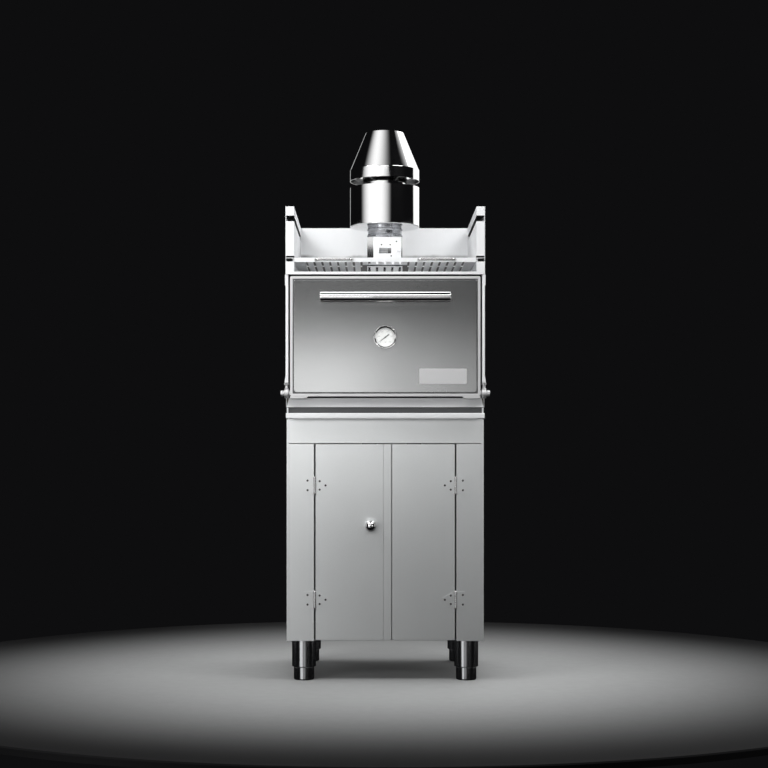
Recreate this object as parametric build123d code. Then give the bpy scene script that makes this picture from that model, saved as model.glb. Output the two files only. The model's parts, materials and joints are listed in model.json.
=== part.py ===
# Charcoal oven on a two-door cupboard, with a warming rack and a capped flue on its roof.
# Millimetres, +Z up, the front faces -Y, the origin is on the floor under the middle of the oven.

import os

from build123d import *

# Sheets and general clearances
sheet = 1.5
liner_wall = 2.0
running_gap = 0.05
slide_gap = 0.5
loose_gap = 0.3

# Cabinet
cabinet_width = 617.0
cabinet_depth = 580.0
cabinet_bottom = 126.0
cabinet_height = 694.0
fascia_height = 75.0
side_return = 8.0
stile_width = 77.5
frame_return = 30.0
door_gap = 5.0

# Legs and levelling feet
leg_inset_side = 52.5
leg_inset_front = 48.0
leg_inset_back = 48.0
leg_radius = 38.0
leg_plug_height = 12.0
foot_radius = 32.25
foot_height = 40.0
foot_gap = 2.0
foot_round = 7.0
foot_neck_radius = 22.0
stem_radius = 8.0
stem_length = 50.0

# Cupboard doors
cupboard_door_thickness = 16.0
cupboard_door_edge_gap = 3.0
stile_seam_gap = 2.0
meeting_line_x = 20.4
meeting_gap = 2.4
strip_width = 24.4
strip_groove = 0.5
knob_radius = 18.5
knob_inset = 65.0
knob_drop = 257.0
knob_neck_radius = 7.0
knob_neck_length = 12.0
knob_neck_sunk = 1.85
rosette_radius = 11.0
rosette_height = 3.0
catch_size = (46.0, 18.0, 14.0)
catch_offset = 70.0

# Cupboard hinges
hinge_low_lift = 129.0
hinge_high_drop = 132.0
hinge_height = 52.0
knuckle_radius = 4.0
hinge_pin_radius = 2.0
pin_head_radius = 3.2
pin_head_height = 2.0
leaf_thickness = 2.0
frame_leaf_length = 33.0
door_leaf_length = 43.6
leaf_tip_height = 8.0
leaf_web_lap = 1.0
hinge_screw_radius = 3.4
hinge_screw_head = 1.4
frame_screw_reach = 22.6
frame_screw_spread = 15.0
door_screw_reach = 15.3
door_screw_spread = 13.3
door_tip_screw_reach = 33.8

# Gap between the cabinet and the oven, with the drip tray in it
oven_stand_height = 38.0
riser_width = 18.0
riser_inset = 2.5
riser_setback = 20.0
tray_wall_height = 15.0
tray_depth = 430.0
lip_overhang = 45.0
lip_height = 17.5
lip_lift = 1.0
lip_thickness = 3.0
lip_roll_radius = 2.6

# Oven body
oven_side_overhang = 2.0
oven_overhang = 30.0
roof_thickness = 8.7
jamb_width = 34.5
lintel_height = 25.6
opening_bottom = 58.0
opening_height = 329.0
cavity_depth = 450.0
back_wool = 51.0
skirt_height = 29.0
skirt_forward = 7.0
flange_setback = 17.0
skirt_side_inset = 0.5
cheek_width = 4.5

# Fire and cooking grates
grate_side_gap = 26.0
grate_front_gap = 49.0
grate_back_gap = 19.0
grate_thickness = 14.0
grate_leg_height = 26.0
grate_slot_width = 10.0
grate_slot_pitch = 25.0
grate_rim = 20.0
rail_height = 166.0
rail_width = 16.0
rail_front_gap = 48.0
grill_side_gap = 6.0
grill_front_gap = 68.0
grill_bar = 8.0
grill_pitch = 26.0

# Oven door
door_side_lap = 20.5
door_top_lap = 20.0
door_low_lap = 25.0
door_shell_depth = 27.0
door_corner_radius = 6.0
door_flange = 8.2
door_panel_gap = 3.0
door_panel_depth = 4.0
panel_low_radius = 11.0
panel_top_radius = 3.0
plug_gap = 5.0
plug_depth = 28.0
seal_width = 9.0
seal_thickness = 9.0
hinge_axis_lift = 10.0
hinge_axis_setback = 15.0
bracket_width = 56.0
bracket_drop = 6.3

# Handle
handle_length = 404.0
handle_radius = 16.5
handle_wall = 2.0
handle_end_round = 7.0
handle_standoff = 55.0
handle_below_top = 69.5
handle_post_radius = 9.0
handle_post_inset = 52.0
handle_vent_radius = 3.0

# Thermometer and plate on the door
gauge_height = 183.0
gauge_radius = 33.5
gauge_depth = 11.0
gauge_floor = 5.0
gauge_wall = 2.5
gauge_step = 1.2
bezel_wall = 2.5
bezel_lap = 2.0
bezel_lip = 1.8
bezel_depth = 5.0
bezel_throat_inset = 4.0
dial_thickness = 0.8
glass_thickness = 1.2
needle_length = 22.5
needle_tail = 15.5
needle_thickness = 0.8
needle_tip_width = 0.8
needle_hub_width = 3.2
needle_hub_radius = 3.0
needle_lift = 1.6
needle_pin_radius = 1.2
needle_start = 217.0
probe_radius = 3.0
probe_length = 60.0
plate_side_inset = 42.5
plate_lift = 62.0
plate_width = 148.0
plate_height = 48.0
plate_thickness = 1.2
plate_radius = 3.0

# Door hangers at the two sides
hanger_width = 8.5
hanger_depth = 33.0
hanger_flare = 3.5
hanger_flare_height = 24.0
hanger_skirt = 2.0
hanger_skirt_height = 33.6
hanger_foot_lift = 32.0
stud_radius = 5.3
lock_nut_flats = 15.0
lock_nut_height = 6.0
eye_radius = 16.0
eye_width = 13.4
eye_gap = 2.8
pivot_radius = 6.0
pivot_boss_radius = 9.0
washer_radius = 8.0
washer_thickness = 2.5
bolt_head_radius = 9.0
bolt_head_length = 11.0
bolt_head_chamfer = 1.5

# Warming rack on the roof
rack_back_inset = 40.0
rack_height = 202.7
rack_block_width = 25.0
groove_height = 17.4
low_groove_lift = 31.3
high_groove_lift = 156.7
rack_block_sheet = 1.5
shelf_runner_width = 22.0
shelf_height = 12.0
shelf_back_gap = 30.0
shelf_side_gap = 1.0
slot_width = 7.5
slot_pitch = 25.0
slot_land = 20.0
slot_front_land = 3.0
cutout_side_gap = 16.75
cutout_front_gap = 22.25
rail_drop = 13.5
shelf_rail_depth = 14.0
grip_x = 160.0
grip_length = 123.0
grip_radius = 4.75
grip_foot_radius = 3.8
grip_standoff = 14.0

# Flue
flue_setback = 265.0
flue_box_width = 113.5
flue_box_height = 134.7
flue_flange_reach = 16.75
flue_flange_height = 3.5
flue_opening_inset = 8.75
neck_inset = 0.25
neck_height = 38.0
bead_radius = 3.0
bead_inset = 9.0
drum_radius = 113.25
drum_height = 128.0
drum_hole_inset = 6.5
stack_radius = 72.0
stack_rise = 21.5
hood_gap = 22.0
hood_skirt = 35.0
hood_cone_height = 122.0
hood_top_radius = 62.5
strap_count = 3
strap_height = 20.0
strap_thickness = 3.0

# Draught shutter on the flue box
cover_width = 90.0
cover_height = 90.0
cover_side_inset = 3.75
cover_standoff = 6.0
window_width = 66.0
window_height = 18.0
window_side_inset = 6.0
window_drop = 44.7
inlet_width = 28.0
shutter_width = 30.0
shutter_height = 28.0
shutter_thickness = 1.5
lever_radius = 2.5
lever_ball_radius = 5.0
lever_reach = 12.0
rivet_radius = 2.2
rivet_height = 1.2
track_rivet_drop = 25.5
track_rivets_from_edge = (35.7, 63.8)
stop_rivet_drop = 15.2
stop_rivet_from_edge = 15.5
low_rivet_rise = 28.0
low_rivet_from_edge = 32.4

# Places that follow from the sizes, from the front (-Y) to the back
handle_front = oven_overhang + handle_standoff + handle_radius
total_depth = handle_front + cabinet_depth
cabinet_front = handle_front - total_depth / 2
cabinet_back = cabinet_front + cabinet_depth
oven_front = cabinet_front - oven_overhang
frame_front = oven_front + door_shell_depth + seal_thickness
frame_back = frame_front + sheet
liner_back = frame_back + cavity_depth
cavity_end = liner_back - liner_wall
oven_back = liner_back + back_wool + sheet
rack_end = oven_back - rack_back_inset
flue_y = oven_front + flue_setback
flue_front = flue_y - flue_box_width / 2
lip_front = cabinet_front - lip_overhang

# From the floor up
cabinet_top = cabinet_bottom + cabinet_height
fascia_seam = cabinet_top - fascia_height
oven_bottom = cabinet_top + oven_stand_height
opening_low = oven_bottom + opening_bottom
opening_top = opening_low + opening_height
oven_door_bottom = opening_low - door_low_lap
oven_door_top = opening_top + door_top_lap
roof_bottom = opening_top + lintel_height
roof_top = roof_bottom + roof_thickness
rack_top = roof_top + rack_height
flue_box_top = roof_top + flue_box_height
neck_top = flue_box_top + neck_height
drum_top = neck_top + drum_height
hood_bottom = drum_top + hood_gap
hood_shoulder = hood_bottom + hood_skirt
window_z = flue_box_top - window_drop
hinge_heights = (cabinet_bottom + hinge_low_lift, fascia_seam - hinge_high_drop)
knob_height = fascia_seam - knob_drop
gauge_z = oven_door_bottom + gauge_height

# The oven door's hinge line
axis_y = oven_front + hinge_axis_setback
axis_z = oven_door_bottom + hinge_axis_lift

# Half widths
half_cabinet = cabinet_width / 2
half_inside = half_cabinet - sheet
half_oven = half_cabinet + oven_side_overhang
half_oven_inside = half_oven - sheet
half_opening = half_oven - jamb_width
half_liner = half_opening + liner_wall
half_door = half_opening + door_side_lap
half_skirt = half_cabinet - skirt_side_inset
hanger_inner = half_oven - hanger_width
leg_x = half_cabinet - leg_inset_side
stile_outer = half_cabinet - side_return
stile_inner = stile_outer - stile_width
door_hinge_edge = stile_inner - door_gap
hinge_x = stile_inner - door_gap / 2
hinge_y = cabinet_front - knuckle_radius
handle_post_x = handle_length / 2 - handle_post_inset
half_flue_box = flue_box_width / 2
neck_radius = half_flue_box - neck_inset
cover_end = half_flue_box - cover_side_inset
window_end = cover_end - window_side_inset

nodes = {}


def keep(name, *pieces):
    """Puts the pieces of one sub-part under its name."""
    solids = [solid for piece in pieces for solid in piece.solids()]
    nodes[name] = solids[0] if len(solids) == 1 else Compound(children=solids)


def slab(x, y, z):
    """A box between two values on each axis."""
    middle = [(low + high) / 2 for low, high in (x, y, z)]
    return Pos(*middle) * Box(x[1] - x[0], y[1] - y[0], z[1] - z[0])


def across(half):
    """The span of a piece that is centred on the middle plane."""
    return (-half, half)


def rod_x(x, y, z, radius):
    return Pos((x[0] + x[1]) / 2, y, z) * Rot(0, 90, 0) * Cylinder(radius, x[1] - x[0])


def rod_y(x, y, z, radius):
    return Pos(x, (y[0] + y[1]) / 2, z) * Rot(90, 0, 0) * Cylinder(radius, y[1] - y[0])


def rod_z(x, y, z, radius):
    return Pos(x, y, (z[0] + z[1]) / 2) * Cylinder(radius, z[1] - z[0])


def front_plate(x, y, z, radius):
    """A plate that faces the front, with rounded corners."""
    outline = RectangleRounded(x[1] - x[0], z[1] - z[0], radius)
    middle = Pos((x[0] + x[1]) / 2, y[1], (z[0] + z[1]) / 2)
    return middle * extrude(Plane.XZ * outline, y[1] - y[0])


def front_shape(points, y):
    """A plate that faces the front, from the corners of its outline in X and Z."""
    outline = make_face(Polyline(*[(px, y[1], pz) for px, pz in points], close=True))
    return extrude(outline, y[1] - y[0], dir=(0, -1, 0))


def both_sides(piece):
    """The piece and its mirror image on the other side of the oven."""
    return [piece, mirror(piece, about=Plane.YZ)]


def turned(points):
    """A body of revolution about Z, from radius and height pairs."""
    outline = make_face(Polyline(*[(radius, 0, height) for radius, height in points], close=True))
    return Pos(0, flue_y, 0) * revolve(outline, Axis.Z)


# Cabinet: two sides with front returns, back, floor, deck, stiles and fascia

def cabinet():
    height = (cabinet_bottom, cabinet_top)
    side = slab((half_inside, half_cabinet), (cabinet_front, cabinet_back), height)
    side += slab((stile_outer, half_cabinet), (cabinet_front, cabinet_front + sheet), height)
    back = slab(across(half_inside), (cabinet_back - sheet, cabinet_back), height)
    keep("cabinet_walls", *both_sides(side), back)

    behind_doors = cabinet_front + cupboard_door_thickness + door_gap
    inside = (behind_doors, cabinet_back - sheet)
    keep("cabinet_floor", slab(across(half_inside), inside, (cabinet_bottom, cabinet_bottom + sheet)))
    deck_depth = (cabinet_front + sheet, cabinet_back - sheet)
    keep("cabinet_deck", slab(across(half_inside), deck_depth, (cabinet_top - sheet, cabinet_top)))

    stile_top = fascia_seam - stile_seam_gap
    stile_z = (cabinet_bottom, stile_top)
    stile = slab((stile_inner, stile_outer), (cabinet_front, cabinet_front + sheet), stile_z)
    return_y = (cabinet_front, cabinet_front + frame_return)
    stile += slab((stile_inner, stile_inner + sheet), return_y, (cabinet_bottom + sheet, stile_top))
    keep("cabinet_stiles", *both_sides(stile))

    face_z = (fascia_seam, cabinet_top)
    fascia = slab(across(stile_outer), (cabinet_front, cabinet_front + sheet), face_z)
    fascia += slab(across(stile_outer), return_y, (fascia_seam, fascia_seam + sheet))
    keep("cabinet_fascia", fascia)

    width, depth, drop = catch_size
    catches = []
    for door_edge in (-1, 1):
        catch_x = meeting_line_x + door_edge * catch_offset
        catch_y = cabinet_front + cupboard_door_thickness
        catches.append(slab((catch_x - width / 2, catch_x + width / 2),
                            (catch_y, catch_y + depth), (fascia_seam - drop, fascia_seam)))
    keep("magnetic_catches", *catches)


# Legs: tubes with a plug that takes the levelling stem

def leg_places():
    front = cabinet_front + leg_inset_front
    back = cabinet_back - leg_inset_back
    return {
        "front_left": (-leg_x, front),
        "front_right": (leg_x, front),
        "back_left": (-leg_x, back),
        "back_right": (leg_x, back),
    }


def legs():
    leg_bottom = foot_height + foot_gap
    tubes = []
    for name, (x, y) in leg_places().items():
        tube = rod_z(x, y, (leg_bottom, cabinet_bottom), leg_radius)
        tube -= rod_z(x, y, (leg_bottom + leg_plug_height, cabinet_bottom), leg_radius - sheet)
        tube -= rod_z(x, y, (leg_bottom, cabinet_bottom), stem_radius + running_gap)
        tubes.append(tube)

        pad = rod_z(x, y, (0, foot_height), foot_radius)
        pad = fillet(pad.edges().group_by(Axis.Z)[0], foot_round)
        neck = rod_z(x, y, (foot_height, leg_bottom), foot_neck_radius)
        stem = rod_z(x, y, (leg_bottom, leg_bottom + stem_length), stem_radius)
        keep(f"foot_{name}", pad + neck + stem)
    keep("leg_tubes", *tubes)


# Cupboard doors: folded pans, the strip on the left door's meeting edge, knob

def door_pan(x):
    z = (cabinet_bottom + cupboard_door_edge_gap, fascia_seam - cupboard_door_edge_gap)
    y = (cabinet_front, cabinet_front + cupboard_door_thickness)
    hollow = ((x[0] + sheet, x[1] - sheet), (y[0] + sheet, y[1]), (z[0] + sheet, z[1] - sheet))
    return slab(x, y, z) - slab(*hollow)


def cupboard_doors():
    left_end = meeting_line_x - meeting_gap / 2
    right_start = meeting_line_x + meeting_gap / 2
    strip_start = left_end - strip_width
    keep("cupboard_door_left", door_pan((-door_hinge_edge, strip_start - strip_groove)))
    keep("cupboard_door_right", door_pan((right_start, door_hinge_edge)))

    # The strip's back flange laps the pan's edge, so the two are one door.
    strip = door_pan((strip_start, left_end))
    door_back = cabinet_front + cupboard_door_thickness
    flange_z = (cabinet_bottom + cupboard_door_edge_gap, fascia_seam - cupboard_door_edge_gap)
    strip += slab((strip_start - strip_width / 2, strip_start + sheet),
                  (door_back, door_back + sheet), flange_z)
    keep("door_edge_strip", strip)

    knob_x = left_end - knob_inset
    ball_y = cabinet_front - rosette_height - knob_neck_length - knob_radius + knob_neck_sunk
    knob = Pos(knob_x, ball_y, knob_height) * Sphere(knob_radius)
    knob += rod_y(knob_x, (ball_y, cabinet_front), knob_height, knob_neck_radius)
    knob += rod_y(knob_x, (cabinet_front - rosette_height, cabinet_front), knob_height, rosette_radius)
    keep("cupboard_knob", knob)


# Cupboard hinges: three knuckles on a headed pin, a plain frame leaf and a tapered door leaf

def knuckle(z):
    tube = rod_z(hinge_x, hinge_y, z, knuckle_radius)
    return tube - rod_z(hinge_x, hinge_y, z, hinge_pin_radius + running_gap)


def leaf_web(outward, z):
    """Joins a knuckle to its leaf, past the room that the other leaf's knuckles need."""
    reach = knuckle_radius + loose_gap + leaf_web_lap
    web = slab(sorted((hinge_x, hinge_x + outward * reach)),
               (cabinet_front - leaf_thickness, cabinet_front), z)
    return web - rod_z(hinge_x, hinge_y, z, hinge_pin_radius + running_gap)


def screw_heads(places, y):
    """Flat screw heads on a face at y, at the given X and Z."""
    return [rod_y(x, (y - hinge_screw_head, y), z, hinge_screw_radius) for x, z in places]


def hinges():
    third = hinge_height / 3
    start = knuckle_radius + loose_gap
    leaf_y = (cabinet_front - leaf_thickness, cabinet_front)
    frame_leaves, door_leaves, pins, frame_screws, door_screws = [], [], [], [], []
    for height in hinge_heights:
        low, high = height - hinge_height / 2, height + hinge_height / 2
        frame_leaf = slab((hinge_x + start, hinge_x + frame_leaf_length), leaf_y, (low, high))
        for end in ((low, low + third - loose_gap), (high - third + loose_gap, high)):
            frame_leaf += knuckle(end) + leaf_web(1, end)
        frame_leaves.append(frame_leaf)

        tip = hinge_x - door_leaf_length
        corners = [(hinge_x - start, low), (hinge_x - start, high),
                   (tip, height + leaf_tip_height / 2), (tip, height - leaf_tip_height / 2)]
        middle = (low + third, high - third)
        door_leaf = front_shape(corners, leaf_y) + knuckle(middle) + leaf_web(-1, middle)
        door_leaves.append(door_leaf)

        pin = rod_z(hinge_x, hinge_y, (low, high), hinge_pin_radius)
        pin += rod_z(hinge_x, hinge_y, (high, high + pin_head_height), pin_head_radius)
        pin += rod_z(hinge_x, hinge_y, (low - pin_head_height, low), pin_head_radius)
        pins.append(pin)

        face = cabinet_front - leaf_thickness
        frame_screws += screw_heads([(hinge_x + frame_screw_reach, height + side * frame_screw_spread)
                                     for side in (-1, 1)], face)
        door_screws += screw_heads([(hinge_x - door_screw_reach, height + side * door_screw_spread)
                                    for side in (-1, 1)]
                                   + [(hinge_x - door_tip_screw_reach, height)], face)

    def mirrored(pieces):
        return [mirror(piece, about=Plane.YZ) for piece in pieces]

    keep("hinge_frame_leaves", *frame_leaves, *mirrored(frame_leaves))
    keep("hinge_pins_and_screws", *pins, *frame_screws, *mirrored(pins), *mirrored(frame_screws))
    keep("door_leaves_right", *door_leaves, *door_screws)
    keep("door_leaves_left", *mirrored(door_leaves), *mirrored(door_screws))


# Drip tray in the gap between the cabinet and the oven, and the risers that carry the oven

def oven_stand():
    outer = half_cabinet - riser_inset
    riser_y = (cabinet_front + riser_setback, oven_back)
    riser = slab((outer - riser_width, outer), riser_y, (cabinet_top, oven_bottom - sheet))
    riser -= slab((outer - riser_width + sheet, outer - sheet), riser_y,
                  (cabinet_top + sheet, oven_bottom - 2 * sheet))
    closing = slab(across(outer - riser_width), (riser_y[1] - sheet, riser_y[1]),
                   (cabinet_top, oven_bottom - sheet))
    keep("oven_risers", *both_sides(riser), closing)


def drip_tray():
    half = half_cabinet - riser_inset - riser_width - slide_gap
    pan_y = (lip_front + sheet, lip_front + sheet + tray_depth)
    pan_z = (cabinet_top, cabinet_top + tray_wall_height)
    tray = slab(across(half), pan_y, pan_z)
    tray -= slab(across(half - sheet), (pan_y[0] + sheet, pan_y[1] - sheet), (pan_z[0] + sheet, pan_z[1]))
    low, high = cabinet_top + lip_lift, cabinet_top + lip_lift + lip_height
    front = slab(across(half_cabinet), (lip_front, lip_front + lip_thickness),
                 (low + lip_roll_radius, high - lip_roll_radius))
    for height in (low + lip_roll_radius, high - lip_roll_radius):
        front += rod_x(across(half_cabinet), lip_front + lip_roll_radius, height, lip_roll_radius)
    keep("drip_tray", tray + front)


# Oven body: flanged bottom, leaning skirt, casing, front frame, roof, insulation and cavity

def skirt():
    """The leaning panel under the door, between the front frame's foot and the bottom's front edge."""
    top_y, low_y = frame_front, frame_front - skirt_forward
    top_z, low_z = oven_bottom + skirt_height, oven_bottom
    outline = Polyline((-hanger_inner, top_y, top_z), (hanger_inner, top_y, top_z),
                       (half_skirt, low_y, low_z), (-half_skirt, low_y, low_z), close=True)
    return extrude(make_face(outline), sheet, dir=(0, skirt_height, -skirt_forward))


def oven_body():
    bottom_y = (frame_front - skirt_forward, oven_back)
    cheek_z = (cabinet_top + lip_lift + lip_height + slide_gap, oven_bottom - sheet)
    flange_y = bottom_y[0] + flange_setback
    flange = slab(across(half_skirt - cheek_width), (flange_y, flange_y + sheet), cheek_z)
    keep("oven_bottom", slab(across(half_skirt), bottom_y, (oven_bottom - sheet, oven_bottom)) + flange)
    panel = skirt()
    panel -= slab(across(half_oven), (lip_front, oven_back),
                  (oven_bottom - skirt_height, oven_bottom))
    panel -= slab(across(half_oven), (frame_front, oven_back), (oven_bottom, opening_low))
    cheek = slab((half_skirt - cheek_width, half_skirt),
                 (bottom_y[0], cabinet_front + riser_setback), cheek_z)
    keep("oven_skirt", panel, *both_sides(cheek))

    wall_z = (oven_bottom, roof_bottom)
    side = slab((half_oven_inside, half_oven), (frame_back, oven_back), wall_z)
    back = slab(across(half_oven_inside), (oven_back - sheet, oven_back), wall_z)
    keep("oven_casing", *both_sides(side), back)

    frame = slab(across(half_oven), (frame_front, frame_back), (oven_bottom + skirt_height, roof_bottom))
    frame += slab(across(half_oven_inside), (frame_front, frame_back), (roof_bottom, roof_top - sheet))
    frame -= slab(across(half_opening), (frame_front, frame_back), (opening_low, opening_top))
    keep("oven_front_frame", frame)

    roof = slab(across(half_oven), (oven_front, oven_back), (roof_bottom, roof_top))
    roof -= slab(across(half_oven_inside), (oven_front + sheet, oven_back - sheet),
                 (roof_bottom, roof_top - sheet))
    roof -= flue_hole((roof_bottom, roof_top))
    keep("oven_roof", roof)


def flue_hole(z):
    """The square way up from the cavity into the flue."""
    half = half_flue_box - flue_opening_inset
    return slab(across(half), (flue_y - half, flue_y + half), z)


def oven_cavity():
    depth = (frame_back, liner_back)
    floor = slab(across(half_liner), depth, (opening_low - liner_wall, opening_low))
    ceiling = slab(across(half_liner), depth, (opening_top, opening_top + liner_wall))
    ceiling -= flue_hole((opening_top, opening_top + liner_wall))
    wall = slab((half_opening, half_liner), depth, (opening_low, opening_top))
    end = slab(across(half_opening), (cavity_end, liner_back), (opening_low, opening_top))
    keep("oven_liner", floor, ceiling, *both_sides(wall), end)

    rail_y = (frame_back + rail_front_gap, cavity_end)
    rail_z = opening_low + rail_height
    rail = slab((half_opening - rail_width, half_opening), rail_y, (rail_z - liner_wall, rail_z))
    rail += slab((half_opening - liner_wall, half_opening), rail_y, (rail_z - rail_width, rail_z))
    keep("grill_rails", *both_sides(rail))

    low, high = opening_low - liner_wall, opening_top + liner_wall
    back_inside = oven_back - sheet
    under = slab(across(half_skirt), (frame_back, back_inside), (oven_bottom, low))
    beside = slab((half_liner, half_oven_inside), (frame_back, back_inside), (low, high))
    behind = slab(across(half_liner), (liner_back, back_inside), (low, high))
    over = slab(across(half_oven_inside), (frame_back, back_inside), (high, roof_top - sheet))
    over -= flue_hole((high, roof_top))
    keep("oven_insulation", under, *both_sides(beside), behind, over)


def fire_grate():
    half = half_opening - grate_side_gap
    y = (frame_back + grate_front_gap, cavity_end - grate_back_gap)
    middle = (y[0] + y[1]) / 2
    bed = opening_low + grate_leg_height
    bed_z = (bed, bed + grate_thickness)
    half_rim = grate_rim / 2
    grate = slab(across(half), y, bed_z)
    count = int((half - grate_rim) // grate_slot_pitch)
    for step in range(-count, count + 1):
        centre = step * grate_slot_pitch
        slot_x = (centre - grate_slot_width / 2, centre + grate_slot_width / 2)
        for slot_y in ((y[0] + grate_rim, middle - half_rim), (middle + half_rim, y[1] - grate_rim)):
            grate -= slab(slot_x, slot_y, bed_z)
    for x in across(half - half_rim):
        for foot_y in (y[0] + half_rim, y[1] - half_rim):
            foot_span = (foot_y - half_rim, foot_y + half_rim)
            grate += slab((x - half_rim, x + half_rim), foot_span, (opening_low, bed))
    keep("charcoal_grate", grate)


def cooking_grill():
    half = half_opening - grill_side_gap
    y = (frame_back + grill_front_gap, cavity_end - loose_gap)
    z = (opening_low + rail_height, opening_low + rail_height + grill_bar)
    grill = slab(across(half), y, z)
    grill -= slab(across(half - grill_bar), (y[0] + grill_bar, y[1] - grill_bar), z)
    count = int((half - grill_bar) // grill_pitch)
    for step in range(-count, count + 1):
        centre = step * grill_pitch
        grill += slab((centre - grill_bar / 2, centre + grill_bar / 2), y, z)
    keep("cooking_grill", grill)


# Door hangers: side bars with a stud, a lock nut and the eye that carries the pivot bolt

def hangers():
    outer = half_oven
    foot = axis_z + hanger_foot_lift
    corners = [
        (hanger_inner, foot),
        (outer + hanger_flare, foot),
        (outer, foot + hanger_flare_height),
        (outer, roof_bottom - hanger_skirt_height),
        (outer + hanger_skirt, roof_bottom - hanger_skirt_height),
        (outer + hanger_skirt, roof_bottom),
        (hanger_inner, roof_bottom),
    ]
    bar = front_shape(corners, (frame_front - hanger_depth, frame_front))
    keep("hanger_bars", *both_sides(bar))

    middle = eye_start() + eye_width / 2
    eye_x = (eye_start(), eye_start() + eye_width)
    eye = rod_x(eye_x, axis_y, axis_z, eye_radius)
    eye += rod_z(middle, axis_y, (axis_z, foot), stud_radius)
    eye -= rod_x(eye_x, axis_y, axis_z, pivot_radius + running_gap)
    nut_z = (foot - lock_nut_height, foot)
    hexagon = RegularPolygon(lock_nut_flats / 2, 6, major_radius=False)
    nut = Pos(middle, axis_y, nut_z[0]) * extrude(hexagon, lock_nut_height)
    nut -= rod_z(middle, axis_y, nut_z, stud_radius + running_gap)
    keep("hinge_eyes", *both_sides(eye), *both_sides(nut))


def eye_start():
    return half_door + eye_gap


# Oven door: shell, front panel, insulation, plug, seal, brackets and pivot bolts

def oven_door():
    x, z = across(half_door), (oven_door_bottom, oven_door_top)
    shell_y = (oven_front, oven_front + door_shell_depth)
    inside = half_door - sheet
    inside_z = (z[0] + sheet, z[1] - sheet)
    shell = front_plate(x, shell_y, z, door_corner_radius)
    shell -= front_plate(across(inside), (shell_y[0] + sheet, shell_y[1]), inside_z,
                         door_corner_radius - sheet)
    window = across(half_door - door_flange)
    window_z = (z[0] + door_flange, z[1] - door_flange)
    shell -= slab(window, (shell_y[0], shell_y[0] + sheet), window_z)
    keep("door_shell", shell)

    rim = door_flange + door_panel_gap
    panel_z = (z[0] + rim, z[1] - rim)
    panel_y = (oven_front, oven_front + door_panel_depth)
    panel = slab(across(half_door - rim), panel_y, panel_z)
    corners = panel.edges().filter_by(Axis.Y)
    panel = fillet(corners.group_by(Axis.Z)[0], panel_low_radius)
    panel = fillet(panel.edges().filter_by(Axis.Y).group_by(Axis.Z)[-1], panel_top_radius)
    fold = panel_low_radius
    panel -= slab(across(half_door - rim - fold), (panel_y[0] + sheet, panel_y[1]),
                  (panel_z[0] + fold, panel_z[1] - fold))
    panel -= probe_hole()
    keep("door_panel", panel)

    back_y = shell_y[1] - sheet
    wool = front_plate(across(inside), (panel_y[1], back_y), inside_z, door_corner_radius - sheet)
    keep("door_insulation", wool - probe_hole())

    plug_x = half_opening - plug_gap
    plug_z = (opening_low + plug_gap, opening_top - plug_gap)
    plug_y = (shell_y[1], shell_y[1] + plug_depth)
    plug = front_plate(across(inside), (back_y, shell_y[1]), inside_z, door_corner_radius - sheet)
    plug += slab(across(plug_x), plug_y, plug_z)
    plug -= slab(across(plug_x - liner_wall), (back_y, plug_y[1] - liner_wall),
                 (plug_z[0] + liner_wall, plug_z[1] - liner_wall))
    keep("door_plug", plug - probe_hole())

    seal_y = (shell_y[1], frame_front - running_gap)
    seal_out_z = (plug_z[0] - seal_width, plug_z[1] + seal_width)
    seal = front_plate(across(plug_x + seal_width), seal_y, seal_out_z, seal_width)
    keep("door_seal", seal - slab(across(plug_x), seal_y, plug_z))


def probe_hole():
    depth = (oven_front - gauge_floor, oven_front + probe_length)
    return rod_y(0, depth, gauge_z, probe_radius + running_gap)


def door_pivots():
    low = oven_door_bottom - bracket_drop
    inner = half_door - bracket_width
    corners = [
        (half_door, low),
        (half_door, oven_door_bottom),
        (inner, oven_door_bottom),
        (inner + bracket_drop, low),
    ]
    shell_y = (oven_front, oven_front + door_shell_depth - liner_wall)
    bracket = front_shape(corners, shell_y)
    keep("door_corner_brackets", *both_sides(bracket))

    eye_end = eye_start() + eye_width
    washer_x = eye_end + loose_gap
    head_x = washer_x + washer_thickness
    bolt = rod_x((half_door, washer_x), axis_y, axis_z, pivot_radius)
    bolt += rod_x((half_door, eye_start() - loose_gap), axis_y, axis_z, pivot_boss_radius)
    bolt += rod_x((washer_x, head_x), axis_y, axis_z, washer_radius)
    head = rod_x((head_x, head_x + bolt_head_length), axis_y, axis_z, bolt_head_radius)
    bolt += chamfer(head.edges().group_by(Axis.X)[-1], bolt_head_chamfer)
    keep("pivot_bolts", *both_sides(bolt))


# Handle: a tube with rounded ends on two posts

def handle():
    y, z = oven_front - handle_standoff, oven_door_top - handle_below_top
    half = handle_length / 2
    tube = rod_x(across(half), y, z, handle_radius)
    tube = fillet(tube.edges().filter_by(GeomType.CIRCLE), handle_end_round)
    tube -= rod_x(across(half - handle_end_round), y, z, handle_radius - handle_wall)
    posts = []
    for x in across(handle_post_x):
        tube -= rod_y(x, (y, y + handle_radius), z, handle_vent_radius)
        post = rod_y(x, (y, oven_front), z, handle_post_radius)
        posts.append(post - rod_x(across(half), y, z, handle_radius))
    keep("door_handle", tube)
    keep("handle_posts", *posts)


# Thermometer: case with probe, bevelled bezel, dial, glass and needle

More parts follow.
